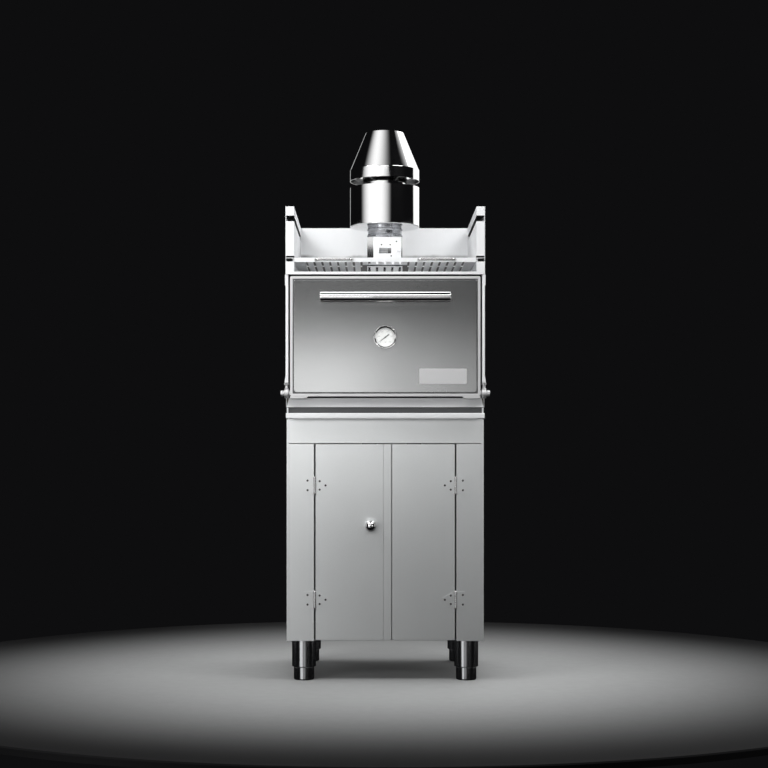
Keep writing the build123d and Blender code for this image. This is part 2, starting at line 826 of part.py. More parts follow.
def thermometer():
    z = gauge_z
    front, floor = oven_front - gauge_depth, oven_front - gauge_floor
    bore = gauge_radius - gauge_wall
    ledge = front + glass_thickness
    case = rod_y(0, (front, oven_front), z, gauge_radius)
    case -= rod_y(0, (front, ledge), z, bore)
    case -= rod_y(0, (ledge, floor), z, bore - gauge_step)
    case += rod_y(0, (oven_front, oven_front + probe_length), z, probe_radius)
    keep("thermometer_case", case)

    fit = gauge_radius + running_gap
    outer = fit + bezel_wall
    throat = gauge_radius - bezel_throat_inset
    lip = front - bezel_depth
    profile = Polyline(
        (fit, front + bezel_lap, 0), (outer, front + bezel_lap, 0), (outer, lip + bezel_lip / 2, 0),
        (outer - bezel_lip / 2, lip, 0), (outer - bezel_lip, lip, 0), (throat, front - glass_thickness, 0),
        (throat, front, 0), (fit, front, 0), close=True)
    keep("thermometer_bezel", Pos(0, 0, z) * revolve(make_face(profile), Axis.Y))

    keep("thermometer_glass", rod_y(0, (front, ledge), z, bore - running_gap))

    dial_y = (floor - dial_thickness, floor)
    dial = rod_y(0, dial_y, z, bore - gauge_step - running_gap)
    dial -= rod_y(0, dial_y, z, needle_pin_radius + running_gap)
    keep("thermometer_dial", dial)

    needle_y = (dial_y[0] - needle_lift, dial_y[0] - needle_lift + needle_thickness)
    thin, thick = needle_tip_width / 2, needle_hub_width / 2
    blade = front_shape([(-needle_tail, -thick), (0, -thick), (needle_length, -thin),
                         (needle_length, thin), (0, thick), (-needle_tail, thick)], needle_y)
    blade = Rot(0, -needle_start, 0) * blade
    hub = rod_y(0, (needle_y[0], dial_y[0] - loose_gap), 0, needle_hub_radius)
    hub += rod_y(0, (needle_y[0], dial_y[1]), 0, needle_pin_radius)
    keep("thermometer_needle", Pos(0, 0, z) * (blade + hub))


def plate_on_door():
    x = (half_door - plate_side_inset - plate_width, half_door - plate_side_inset)
    middle = oven_door_bottom + plate_lift
    z = (middle - plate_height / 2, middle + plate_height / 2)
    keep("door_plate", front_plate(x, (oven_front - plate_thickness, oven_front), z, plate_radius))


# Warming rack: side frames with two grooves, back, and a slotted shelf with two grips

def rack_frame():
    depth = (oven_front, rack_end)
    skin = slab((half_oven_inside, half_oven), depth, (roof_top, rack_top))
    bands = [
        (roof_top, roof_top + low_groove_lift),
        (roof_top + low_groove_lift + groove_height, roof_top + high_groove_lift),
        (roof_top + high_groove_lift + groove_height, rack_top),
    ]
    inner = half_oven_inside - rack_block_width
    blocks = []
    for low, high in bands:
        block = slab((inner, half_oven_inside), depth, (low, high))
        hollow_x = (inner + rack_block_sheet, half_oven_inside - rack_block_sheet)
        block -= slab(hollow_x, (depth[0] + rack_block_sheet, depth[1]),
                      (low + rack_block_sheet, high - rack_block_sheet))
        blocks += both_sides(block)
    keep("rack_sides", *both_sides(skin), *blocks)
    keep("rack_back", slab(across(half_oven), (depth[1], depth[1] + sheet), (roof_top, rack_top)))


def rack_shelf():
    groove_floor = roof_top + low_groove_lift
    top = groove_floor + shelf_height
    outer = half_oven_inside - slide_gap
    clear = half_oven_inside - rack_block_width - shelf_side_gap
    y = (oven_front, rack_end - shelf_back_gap)
    shelf = slab(across(outer), (y[0] + sheet, y[1]), (top - sheet, top))
    for runner in both_sides(slab((outer - shelf_runner_width, outer - shelf_runner_width + sheet),
                                  (y[0] + sheet, y[1]), (groove_floor, top))):
        shelf += runner
    cut = (flue_front - cutout_front_gap, y[1])
    half_cut = half_flue_box + cutout_side_gap
    shelf -= slab(across(half_cut), cut, (groove_floor, top))
    rail = slab(across(clear), (y[0], y[0] + shelf_rail_depth), (top - rail_drop, top))
    rail -= slab(across(clear), (y[0] + sheet, y[0] + shelf_rail_depth), (top - rail_drop, top - sheet))
    shelf += rail
    middle = (y[0] + y[1]) / 2
    front_end = y[0] + sheet + slot_front_land
    count = int((clear - slot_land) // slot_pitch)
    for step in range(-count, count + 1):
        centre = step * slot_pitch
        spans = [(front_end, middle - slot_land / 2), (middle + slot_land / 2, y[1] - slot_land)]
        if abs(centre) < half_cut:
            spans = [(front_end, cut[0] - slot_land)]
        for span in spans:
            shelf -= slab((centre - slot_width / 2, centre + slot_width / 2), span, (top - sheet, top))
    keep("rack_shelf", shelf)

    grips = []
    grip_z = top - rail_drop / 2
    grip_y = oven_front - grip_standoff
    for x in across(grip_x):
        ends = (x - grip_length / 2, x + grip_length / 2)
        bar = rod_x(ends, grip_y, grip_z, grip_radius)
        for end_x in (ends[0] + grip_radius, ends[1] - grip_radius):
            bar += rod_y(end_x, (grip_y, oven_front), grip_z, grip_foot_radius)
        grips.append(bar)
    keep("shelf_grips", *grips)


# Flue: box with a draught shutter, beaded neck, firebreak drum, stack and conical hood

def flue_box():
    half = half_flue_box
    wide = half + flue_flange_reach
    box = slab(across(half), (flue_front, flue_y + half), (roof_top, flue_box_top))
    box += slab(across(wide), (flue_y - wide, flue_y + wide), (roof_top, roof_top + flue_flange_height))
    inner = half - liner_wall
    box -= slab(across(inner), (flue_y - inner, flue_y + inner), (roof_top, flue_box_top - liner_wall))
    box -= rod_z(0, flue_y, (flue_box_top - liner_wall, flue_box_top), neck_radius - liner_wall)
    inlet_start = window_span()[0] + slide_gap
    inlet_x = (inlet_start, inlet_start + inlet_width)
    box -= slab(inlet_x, (flue_front, flue_front + liner_wall), window_band())
    keep("flue_box", box)


def window_span():
    return (window_end - window_width, window_end)


def window_band():
    return (window_z - window_height / 2, window_z + window_height / 2)


def draught_shutter():
    x = (cover_end - cover_width, cover_end)
    z = (flue_box_top - cover_height, flue_box_top)
    face = flue_front - cover_standoff
    cover = slab(x, (face, flue_front), z)
    shutter_z = (window_band()[0] - slot_clear(), window_band()[1] + slot_clear())
    cover -= slab((x[0] + liner_wall, x[1] - liner_wall), (face + liner_wall, flue_front), shutter_z)
    cover -= slab(window_span(), (face, face + liner_wall), window_band())
    rivet_places = [(x[1] - inset, z[1] - track_rivet_drop) for inset in track_rivets_from_edge]
    rivet_places.append((x[1] - stop_rivet_from_edge, z[1] - stop_rivet_drop))
    rivet_places.append((x[1] - low_rivet_from_edge, z[0] + low_rivet_rise))
    rivets = []
    for rivet_x, rivet_z in rivet_places:
        rivets.append(rod_y(rivet_x, (face - rivet_height, face), rivet_z, rivet_radius))
    keep("shutter_cover", cover, *rivets)

    plate_y = (face + liner_wall + slide_gap, face + liner_wall + slide_gap + shutter_thickness)
    right = x[1] - liner_wall - slide_gap
    plate = slab((right - shutter_width, right), plate_y,
                 (shutter_z[0], shutter_z[1] - slide_gap))
    lever_x = window_end - lever_radius - slide_gap
    plate += rod_y(lever_x, (face - lever_reach, plate_y[1]), window_z, lever_radius)
    plate += Pos(lever_x, face - lever_reach, window_z) * Sphere(lever_ball_radius)
    keep("draught_shutter", plate)


def slot_clear():
    """How far the shutter's track reaches past the window, above and below."""
    return (shutter_height - window_height) / 2


def flue_stack():
    tube = neck_radius - liner_wall
    neck = turned([(tube, flue_box_top), (neck_radius, flue_box_top),
                   (neck_radius, neck_top), (tube, neck_top)])
    for height in (flue_box_top + bead_inset, neck_top - bead_inset):
        neck += Pos(0, flue_y, height) * Torus(neck_radius - liner_wall / 2, bead_radius)
    keep("flue_neck", neck)

    rim = drum_radius - sheet
    hole = neck_radius - drum_hole_inset
    keep("firebreak_drum", turned([
        (hole, neck_top), (drum_radius, neck_top), (drum_radius, drum_top), (rim, drum_top),
        (rim, neck_top + sheet), (hole, neck_top + sheet),
    ]))

    stack_z = (neck_top + sheet, hood_shoulder + stack_rise)
    keep("inner_stack", turned([
        (stack_radius - sheet, stack_z[0]), (stack_radius, stack_z[0]),
        (stack_radius, stack_z[1]), (stack_radius - sheet, stack_z[1]),
    ]))

    top = hood_shoulder + hood_cone_height
    keep("flue_hood", turned([
        (rim, hood_bottom), (drum_radius, hood_bottom), (drum_radius, hood_shoulder), (hood_top_radius, top),
        (hood_top_radius - sheet, top), (rim, hood_shoulder),
    ]))

    straps = []
    strap_z = (hood_shoulder - strap_height, hood_shoulder)
    for index in range(strap_count):
        strap = slab((stack_radius, rim), across(strap_thickness / 2), strap_z)
        ring = rod_z(0, 0, strap_z, rim) - rod_z(0, 0, strap_z, stack_radius)
        straps.append(Pos(0, flue_y, 0) * Rot(0, 0, 90 + index * 360 / strap_count) * (strap & ring))
    keep("hood_straps", *straps)


cabinet()
legs()
cupboard_doors()
hinges()
oven_stand()
drip_tray()
oven_body()
oven_cavity()
fire_grate()
cooking_grill()
hangers()
oven_door()
door_pivots()
handle()
thermometer()
plate_on_door()
rack_frame()
rack_shelf()
flue_box()
draught_shutter()
flue_stack()

os.makedirs("parts", exist_ok=True)
for node, shape in nodes.items():
    export_step(shape, f"parts/{node}.step")

whole = Compound(children=list(nodes.values())).bounding_box()
print(len(nodes), "nodes, from", whole.min, "to", whole.max)
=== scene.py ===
import json
import math

import bmesh
import bpy
import numpy as np
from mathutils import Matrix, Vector

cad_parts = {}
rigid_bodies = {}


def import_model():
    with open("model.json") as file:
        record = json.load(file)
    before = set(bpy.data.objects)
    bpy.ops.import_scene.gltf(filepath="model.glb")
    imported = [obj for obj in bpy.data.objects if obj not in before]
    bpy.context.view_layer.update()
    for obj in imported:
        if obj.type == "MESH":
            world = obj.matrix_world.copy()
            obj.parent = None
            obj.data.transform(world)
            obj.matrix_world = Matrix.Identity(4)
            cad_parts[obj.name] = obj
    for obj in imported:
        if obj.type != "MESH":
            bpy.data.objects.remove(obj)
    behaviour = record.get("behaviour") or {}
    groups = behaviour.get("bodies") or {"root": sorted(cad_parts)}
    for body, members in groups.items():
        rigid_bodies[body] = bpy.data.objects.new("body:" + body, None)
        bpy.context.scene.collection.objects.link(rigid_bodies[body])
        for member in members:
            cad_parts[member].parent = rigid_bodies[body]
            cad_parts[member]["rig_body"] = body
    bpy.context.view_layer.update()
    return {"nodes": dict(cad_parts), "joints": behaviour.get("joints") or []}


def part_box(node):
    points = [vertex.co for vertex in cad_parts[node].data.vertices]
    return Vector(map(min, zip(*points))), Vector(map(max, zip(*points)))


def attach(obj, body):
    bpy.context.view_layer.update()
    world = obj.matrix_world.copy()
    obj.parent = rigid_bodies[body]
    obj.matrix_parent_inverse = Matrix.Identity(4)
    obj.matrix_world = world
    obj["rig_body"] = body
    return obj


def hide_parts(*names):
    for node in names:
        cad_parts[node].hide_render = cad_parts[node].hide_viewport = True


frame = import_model()
nodes = frame["nodes"]
joints = {joint["name"]: joint for joint in frame["joints"]}
mm = 0.001

# Camera: it stands a little left of the oven's middle, at the height of the cupboard's top
camera_place = (-0.035, -5.509, 0.702)
camera_lens = 78.9
camera_sensor = 36
camera_shift = (0.013, 0.095)

# Floor: a disc, pale round the oven and dark at its edge, a painted falloff of light
floor_radius = 1.7
painted_light_pool_to = 0.45
painted_falloff_margin = 0.02
floor_drop = 0.3 * mm
floor_edge = 4 * mm
floor_thickness = 20 * mm

# Meshes: points closer than this are one point, faces within the flat angle are one face, and edges over the
# crease angle stay sharp; angles in degrees
merge_distance = 0.002 * mm
flat_angle = 0.5
crease_angle = 40
bevel_angle = 28

# How far outside each end of an arc a point keeps the flat beside it flat, as a share of the radius
arc_guard = 0.06

# Sheet metal edges, from the folded skins to the thick castings and the wool
skin_edge = 0.5 * mm
bar_edge = 1.2 * mm
rim_edge = 1.4 * mm
casting_edge = 1.5 * mm
wool_edge = 4.0 * mm

# Legs and feet
leg_lip = 1.2 * mm
foot_rim = 3 * mm
foot_rim_round = 2 * mm
foot_shoulder_drop = 2 * mm
foot_shoulder_round = 1 * mm
foot_stem_share = 0.68

# Cupboard's knob: its rosette and the neck above it, whose profile is in shares of the rosette's radius and rise;
# how many of the ball's radii from its middle the neck ends; and how far round the ball goes, in degrees
rosette_radius = 11 * mm
rosette_rise = 3 * mm
rosette_profile = ((0, 0), (1, 0), (1, 0.5), (0.86, 1), (0.62, 1.1), (0.5, 2.2))
neck_end = 1.1
ball_sweep = 158

# Cupboard's hinges: sizes, the places of the screws from the pin and from the hinge's middle, and the profiles
# of a screw's head and of the pin's end, as radius and height in millimetres
hinge_height = 52 * mm
knuckle_radius = 4 * mm
knuckle_round = 0.5 * mm
knuckle_gap = 0.5 * mm
leaf_thickness = 2 * mm
leaf_round = 0.3 * mm
leaf_corner = 2.2 * mm
leaf_tip = 4 * mm
frame_screw = (22.6 * mm, 15 * mm)
door_screw = (15.3 * mm, 13.3 * mm)
door_tip_screw = 33.8 * mm
screw_profile = np.array([(0, 0), (3.3, 0), (3.168, -0.5), (2.31, -1.1), (1.35, -1.3), (0.9, -0.4),
                          (0, -0.4)]) * mm
pin_profile = np.array([(0, 2), (2.4, 1.6), (3.2, 0.4), (2, 0)]) * mm

# Oven door's panel, plate, handle and rope seal
panel_edge = 1.6 * mm
panel_low_corner = 11 * mm
panel_top_corner = 4 * mm
panel_flange_reach = 7 * mm
panel_flange_depth = 2.4 * mm
panel_flange_thickness = 0.8 * mm
plate_edge = 0.5 * mm
plate_corner = 3 * mm
handle_end_edge = 2.6 * mm
post_foot_radius = 12 * mm
post_foot_thickness = 2.5 * mm
post_hollow = 1 * mm
post_foot_round = 0.8 * mm
rope_twist = 14 * mm
rope_step = 2.2 * mm
rope_fill = 0.98
rope_swell = 0.07

# Oven door's hangers: eyes, threaded studs, lock nuts, bosses, bolts, washers and bolt heads
hanger_gap = 0.3 * mm
eye_width = 13.4 * mm
eye_bore = 6.1 * mm
eye_round = 2.4 * mm
eye_bore_round = 0.8 * mm
stud_radius = 5.3 * mm
stud_start = 8 * mm
thread_pitch = 2.2 * mm
thread_depth = 0.6 * mm
lock_nut_flat = 7.5 * mm
lock_nut_height = 6 * mm
lock_nut_gap = 0.2 * mm
lock_nut_chamfer = 0.9 * mm
boss_radius = 9 * mm
boss_round = 0.6 * mm
bolt_radius = 6 * mm
washer_radius = 8 * mm
washer_thickness = 2.5 * mm
washer_round = 0.5 * mm
bolt_head_flat = 7.7 * mm
bolt_head_chamfer = 1.2 * mm

# Thermometer's probe, bezel, needle and hub
probe_radius = 3 * mm
probe_tip_radius = 2.2 * mm
probe_tip_rise = 0.4 * mm
probe_tip_length = 2 * mm
throat_lip = 1.4 * mm
throat_depth = 1.2 * mm
bezel_land = 2.4 * mm
bezel_rounds = np.array([0, 0.4, 1.1, 0.9, 0.3, 0, 0]) * mm
dial_round = 0.3 * mm
needle_rest = 217
needle_shape = np.array([(-15.4, -1.9), (-4, -1.8), (22.2, -0.7), (22.2, 0.7), (-4, 1.8), (-15.4, 1.9)]) * mm
needle_inset = 0.1 * mm
needle_thickness = 0.7 * mm
hub_radius = 3 * mm
hub_pin_radius = 1.1 * mm
hub_pin_gap = 0.5 * mm
hub_round = 0.6 * mm

# Thermometer's scale: numbers and marks round three quarters of a turn, every fifth mark longer and wider
scale_start = 225.0
scale_sweep = 270.0
scale_numbers = (0, 100, 200, 300, 400, 500)
scale_marks = 26
long_mark_every = 5
long_mark_share = 1.5
mark_radius = 26.5 * mm
mark_length = 3.0 * mm
mark_half_width = 0.2 * mm
long_mark_half_width = 0.35 * mm
arc_radius = 27.1 * mm
arc_half_width = 0.16 * mm
number_radius = 19.5 * mm
number_height = 4.6 * mm
unit_drop = 16.0 * mm
unit_height = 6.2 * mm
print_rise = 0.06 * mm

# Rack: painted shade on the back, full below and gone above with a wavy edge; shelf grooves in the sides, from
# bottom to top; grips on the shelf
painted_shade_low, painted_shade_top = 1.372, 1.392
painted_shade_wave = 0.03
painted_shade_wave_size = 80 * mm
painted_shade_strength = 0.9
shelf_grooves = ((1.3106, 1.328), (1.436, 1.4534))
face_margin = 0.1 * mm
grip_bend = 9 * mm
grip_length = 123 * mm

# Flue box's cover and the blades behind its air inlet
rivet_rise = 1.2 * mm
inlet_rise = (34 * mm, 57 * mm)
blade_count = 3
blade_slope = 1.15
blade_gap = 2.5 * mm
blade_sheet = 1.0 * mm
blade_inset = 4.0 * mm

# Flue: neck with two beads, drum, inner stack and hood
flue_sheet = 1.5 * mm
bead_swell = 2.85 * mm
bead_half_width = 2.6 * mm
bead_inset = 9 * mm
bead_reach = 3 * mm
drum_hole = 50 * mm
drum_round = 2.2 * mm
hood_skirt = 35 * mm
hood_top_radius = 62.5 * mm
hood_round = 3 * mm

# Light on the dial: a narrow lamp, its place from the dial and its cone in degrees
dial_lamp_place = (1.15, -2.0, 1.1)
dial_lamp_power = 95
dial_lamp_cone = 3.4
dial_lamp_blend = 0.4
dial_lamp_radius = 20 * mm


# A node's box, as its low and high corners and its middle, and a way into the scene

def low(name):
    return np.array(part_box(name)[0])


def high(name):
    return np.array(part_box(name)[1])


def middle(name):
    return (low(name) + high(name)) / 2


def in_scene(name, data):
    """Puts a new object in the scene, with its mesh, light or camera."""
    made = bpy.data.objects.new(name, data)
    bpy.context.scene.collection.objects.link(made)
    return made


# Colours and shader nodes

def linear(code):
    """A colour written in sRGB hex, as linear values: each channel goes through the sRGB curve."""
    channels = np.array([int(code[place:place + 2], 16) for place in (1, 3, 5)]) / 255
    curve = np.where(channels <= 0.04045, channels / 12.92, ((channels + 0.055) / 1.055) ** 2.4)
    return (*curve.tolist(), 1.0)


def add(tree, kind, settings=None, inputs=None):
    """Adds a shader node, sets its own settings, and gives each input a value or a link."""
    made = tree.nodes.new(kind)
    for name, value in (settings or {}).items():
        setattr(made, name, value)
    for name, value in (inputs or {}).items():
        if isinstance(value, bpy.types.NodeSocket):
            tree.links.new(value, made.inputs[name])
        else:
            made.inputs[name].default_value = value
    return made


def material(name):
    """An empty node material with its shader: returns the material, its tree, the shader and the place socket."""
    made = bpy.data.materials.new(name)
    made.use_nodes = True
    tree = made.node_tree
    tree.nodes.clear()
    shader = add(tree, "ShaderNodeBsdfPrincipled")
    add(tree, "ShaderNodeOutputMaterial", inputs={"Surface": shader.outputs["BSDF"]})
    place = add(tree, "ShaderNodeTexCoord").outputs["Object"]
    return made, tree, shader, place


# Settings and sockets of a node that mixes two colours, and the span that nearly all of a noise's values lie in
colour_mix = {"data_type": "RGBA"}
mix_factor, mix_first, mix_second, mixed = 0, 6, 7, 2
noise_span = {"From Min": 0.25, "From Max": 0.75}


def steel(name, dark, light, roughness, grain, grain_depth, stretch=(1, 1, 1), cloud=0.35):
    """Stainless steel: grain as fine noise that tilts the surface and changes its gloss, cloudiness as broad noise.

    The grain and the cloud are sizes in metres, and the stretch lengthens the grain along an axis into brush lines.
    Real grit and brush marks are 0.1 to 0.3 mm wide and don't show, so each finish draws them as coarse as they
    need to be."""
    made, tree, shader, place = material(name)
    stretched = add(tree, "ShaderNodeMapping", inputs={"Vector": place, "Scale": stretch})
    fine = add(tree, "ShaderNodeTexNoise", inputs={
        "Vector": stretched.outputs["Vector"], "Scale": 1 / grain, "Detail": 3.0, "Roughness": 0.6}).outputs["Fac"]
    broad = add(tree, "ShaderNodeTexNoise", inputs={"Vector": place, "Scale": 1 / cloud, "Detail": 2.0})
    tone = add(tree, "ShaderNodeMix", colour_mix, {
        mix_factor: fine, mix_first: linear(dark), mix_second: linear(light)}).outputs[mixed]
    cloudiness = add(tree, "ShaderNodeMapRange", inputs={"Value": broad.outputs["Fac"], **noise_span})
    cloudy = add(tree, "ShaderNodeMix", colour_mix, {
        mix_factor: cloudiness.outputs["Result"], mix_first: tone, mix_second: linear(light)}).outputs[mixed]
    gloss = add(tree, "ShaderNodeMapRange", inputs={
        "Value": fine, **noise_span, "To Min": roughness * 0.9, "To Max": roughness * 1.1}).outputs["Result"]
    bump = add(tree, "ShaderNodeBump", inputs={"Height": fine, "Distance": grain_depth}).outputs["Normal"]
    for socket, value in (("Base Color", cloudy), ("Roughness", gloss), ("Normal", bump)):
        tree.links.new(value, shader.inputs[socket])
    shader.inputs["Metallic"].default_value = 1.0
    return made


def rough_finish(name, dark, light, roughness, grain, grain_depth, specular=0.5):
    """A matt surface: two colours mixed by noise of the grain's size, which also raises it."""
    made, tree, shader, place = material(name)
    fine = add(tree, "ShaderNodeTexNoise", inputs={
        "Vector": place, "Scale": 1 / grain, "Detail": 5.0, "Roughness": 0.65}).outputs["Fac"]
    share = add(tree, "ShaderNodeMapRange", inputs={"Value": fine, **noise_span}).outputs["Result"]
    tone = add(tree, "ShaderNodeMix", colour_mix, {
        mix_factor: share, mix_first: linear(dark), mix_second: linear(light)}).outputs[mixed]
    bump = add(tree, "ShaderNodeBump", inputs={"Height": fine, "Distance": grain_depth}).outputs["Normal"]
    tree.links.new(tone, shader.inputs["Base Color"])
    tree.links.new(bump, shader.inputs["Normal"])
    shader.inputs["Roughness"].default_value = roughness
    shader.inputs["Specular IOR Level"].default_value = specular
    return made


def towards(made, factor, colour):
    """Blends a finish's own colour towards another colour, by a factor from its node tree."""
    tree = made.node_tree
    base = tree.nodes["Principled BSDF"].inputs["Base Color"]
    blend = add(tree, "ShaderNodeMix", colour_mix, {
        mix_factor: factor, mix_first: base.links[0].from_socket, mix_second: linear(colour)})
    tree.links.new(blend.outputs[mixed], base)
    return made


def blasted_skin_steel():
    """304 stainless sheet, fine bead-blasted: an even soft grey with a fine speckle and no brush lines.

    The real grit marks of about 0.2 mm are drawn 3 mm wide, because finer ones don't show."""
    return steel("blasted_skin_steel", "#DFE1E2", "#ECEEEE", 0.42, 3.0 * mm, 0.05 * mm)


def blasted_door_steel():
    """The oven door's panel: the same blasting on a smoother sheet, so it fades more from bright to dark."""
    return steel("blasted_door_steel", "#989999", "#A4A5A5", 0.25, 1.6 * mm, 0.012 * mm)


def satin_rack_steel():
    """Satin-ground stainless of the oven's casing and rack: lighter, with short grinding marks along the sheet, and
    bright where light grazes it."""
    return steel("satin_rack_steel", "#EEEFF1", "#FBFCFD", 0.55, 2.5 * mm, 0.03 * mm, (1, 0.15, 1))


def heat_tinted_steel():
    """The rack's back: the same satin steel, ground upwards, with painted shade, a dark brown-grey that is full
    just above the roof and fades with height, standing in for the shade behind the shelf's slots."""
    made = steel("heat_tinted_steel", "#EEEFF1", "#FBFCFD", 0.55, 2.5 * mm, 0.03 * mm, (1, 1, 0.15))
    tree = made.node_tree
    place = add(tree, "ShaderNodeTexCoord").outputs["Object"]
    height = add(tree, "ShaderNodeSeparateXYZ", inputs={"Vector": place}).outputs["Z"]
    cloud = add(tree, "ShaderNodeTexNoise", inputs={"Vector": place, "Scale": 1 / painted_shade_wave_size, "Detail": 3.0})
    wavy = add(tree, "ShaderNodeMath", {"operation": "MULTIPLY_ADD"}, {
        0: cloud.outputs["Fac"], 1: painted_shade_wave, 2: height})
    painted_shade_share = add(tree, "ShaderNodeMapRange", {"interpolation_type": "SMOOTHSTEP"}, {
        "Value": wavy.outputs["Value"], "From Min": painted_shade_top + painted_shade_wave / 2, "From Max": painted_shade_low + painted_shade_wave / 2,
        "To Min": 0.0, "To Max": painted_shade_strength})
    # Painted shade: the dark brown-grey band low on the back stands in for shade seen through the shelf's slots
    return towards(made, painted_shade_share.outputs["Result"], "#2B2826")


def blackened_steel():
    """Steel round the door's opening and in the rack's grooves: a dull near-black metal, painted shade for the dark
    gap round the door and the grooves' dark insides.
    """
    return steel("blackened_steel", "#1B1B1C", "#262627", 0.55, 4.0 * mm, 0.05 * mm)


def smoked_steel():
    """The oven's bottom and the flange round the door's panel: steel half as bright as the rest, painted shade for
    the recess under the door and the groove round the panel.
    """
    return steel("smoked_steel", "#5E5F60", "#6C6D6E", 0.5, 4.0 * mm, 0.05 * mm)


def bright_rim_steel():
    """The door's folded rim, plate and hangers, ground and buffed: a light metal with soft highlights."""
    return steel("bright_rim_steel", "#D6D6D7", "#E0E0E1", 0.5, 2.5 * mm, 0.02 * mm, (0.3, 1, 0.3))


def mirror_tube_steel():
    """Mirror-polished stainless of the flue, its box, the handle, knob and bezel: sharp dark and bright bands."""
    return steel("mirror_tube_steel", "#DCDCDD", "#E8E8E8", 0.07, 12 * mm, 0.01 * mm)


def dulled_tube_steel():
    """The flue's neck: polished tube, rougher and a darker grey, the grey being painted shade from the drum above;
    its beads still catch the light.
    """
    return steel("dulled_tube_steel", "#A6A8AC", "#B4B6BA", 0.26, 6 * mm, 0.01 * mm)


def drawn_tube_steel():
    """The legs and feet: drawn tube with a plain polish, whose bright and dark bands have soft edges."""
    return steel("drawn_tube_steel", "#A9AAAC", "#B6B7B9", 0.17, 6 * mm, 0.01 * mm)


def turned_steel():
    """Turned and drawn steel of the hinges' knuckles, the shelf's grips and the thermometer's case: a slightly
    dull shine. The tool marks of about 0.1 mm are drawn 0.8 mm wide, because finer ones don't show."""
    return steel("turned_steel", "#C4C4C4", "#DEDEDE", 0.24, 0.8 * mm, 0.02 * mm)


def liner_steel():
    """The oven's liner, rails and door plug: stainless gone dull and straw-brown with heat, with soot clouds."""
    return steel("liner_steel", "#5F5850", "#877B6B", 0.5, 6.0 * mm, 0.15 * mm, cloud=0.12)


def grill_rod_steel():
    """The cooking grill's bars: drawn rod with a dull grey skin."""
    return steel("grill_rod_steel", "#77777A", "#93939A", 0.38, 1.5 * mm, 0.05 * mm)


def cast_iron():
    """The charcoal grate: sand-cast iron, near black and pebbled, with grains of about 1.5 mm."""
    return rough_finish("cast_iron", "#17171A", "#2E2D2D", 0.62, 1.5 * mm, 0.4 * mm)


def mineral_wool():
    """Slabs of stone wool: grey-brown matted fibres, darkened with painted shade where they show in the gap above the
    door.
    """
    return rough_finish("mineral_wool", "#55524A", "#7A766A", 0.95, 5.0 * mm, 2.0 * mm, 0.2)


def glass_rope():
    """The door's seal: braided glass-fibre rope, off-white and matt."""
    return rough_finish("glass_rope", "#B9B3A6", "#DDD9CF", 0.9, 1.2 * mm, 0.4 * mm, 0.2)


def blackened_screw_steel():
    """The hinges' screws and the cover's rivets: a dark satin, painted shade for their dark recesses."""
    return rough_finish("blackened_screw_steel", "#0B0B0C", "#161617", 0.35, 0.8 * mm, 0.03 * mm)


def catch_plastic():
    """Housings of the magnetic catches: moulded black ABS with a fine matt texture."""
    return rough_finish("catch_plastic", "#101012", "#1B1B1D", 0.5, 0.7 * mm, 0.05 * mm)


def dial_enamel():
    """The thermometer's dial: baked white enamel, smooth with a faint orange peel."""
    return rough_finish("dial_enamel", "#EDEDEB", "#F7F7F5", 0.3, 2.0 * mm, 0.01 * mm)


def scale_print():
    """The scale's thin printing: dark grey ink."""
    return rough_finish("scale_print", "#55585A", "#66696B", 0.6, 0.5 * mm, 0.005 * mm)


def needle_paint():
    """The needle and the dial's unit: matt black paint."""
    return rough_finish("needle_paint", "#08080A", "#121214", 0.5, 0.5 * mm, 0.01 * mm)


def gauge_glass():
    """The thermometer's pane: thin clear glass, mostly see-through, with a sharp reflection."""
    made, tree, shader, place = material("gauge_glass")
    smear = add(tree, "ShaderNodeTexNoise", inputs={"Vector": place, "Scale": 1 / (8 * mm), "Detail": 2.0})
    gloss = add(tree, "ShaderNodeMapRange", inputs={
        "Value": smear.outputs["Fac"], **noise_span, "To Min": 0.02, "To Max": 0.05})
    tree.links.new(gloss.outputs["Result"], shader.inputs["Roughness"])
    shader.inputs["Base Color"].default_value = linear("#F4F7F7")
    shader.inputs["Alpha"].default_value = 0.12
    return made


def pale_floor_finish():
    """A matt pale floor with a painted pool of light: its colour darkens smoothly away from the oven, standing in for
    the studio's light falling off.
    """
    made = rough_finish("floor_with_painted_falloff", "#A7A8A8", "#ADAEAE", 0.8, 40 * mm, 0.02 * mm, 0.1)
    tree = made.node_tree
    place = add(tree, "ShaderNodeTexCoord").outputs["Object"]
    distance = add(tree, "ShaderNodeVectorMath", {"operation": "LENGTH"}, {0: place}).outputs["Value"]
    painted_falloff = add(tree, "ShaderNodeMapRange", {"interpolation_type": "SMOOTHSTEP"}, {
        "Value": distance, "From Min": painted_light_pool_to, "From Max": floor_radius - painted_falloff_margin})
    return towards(made, painted_falloff.outputs["Result"], "#0C0C0D")


# Shapes worked out as grids of points

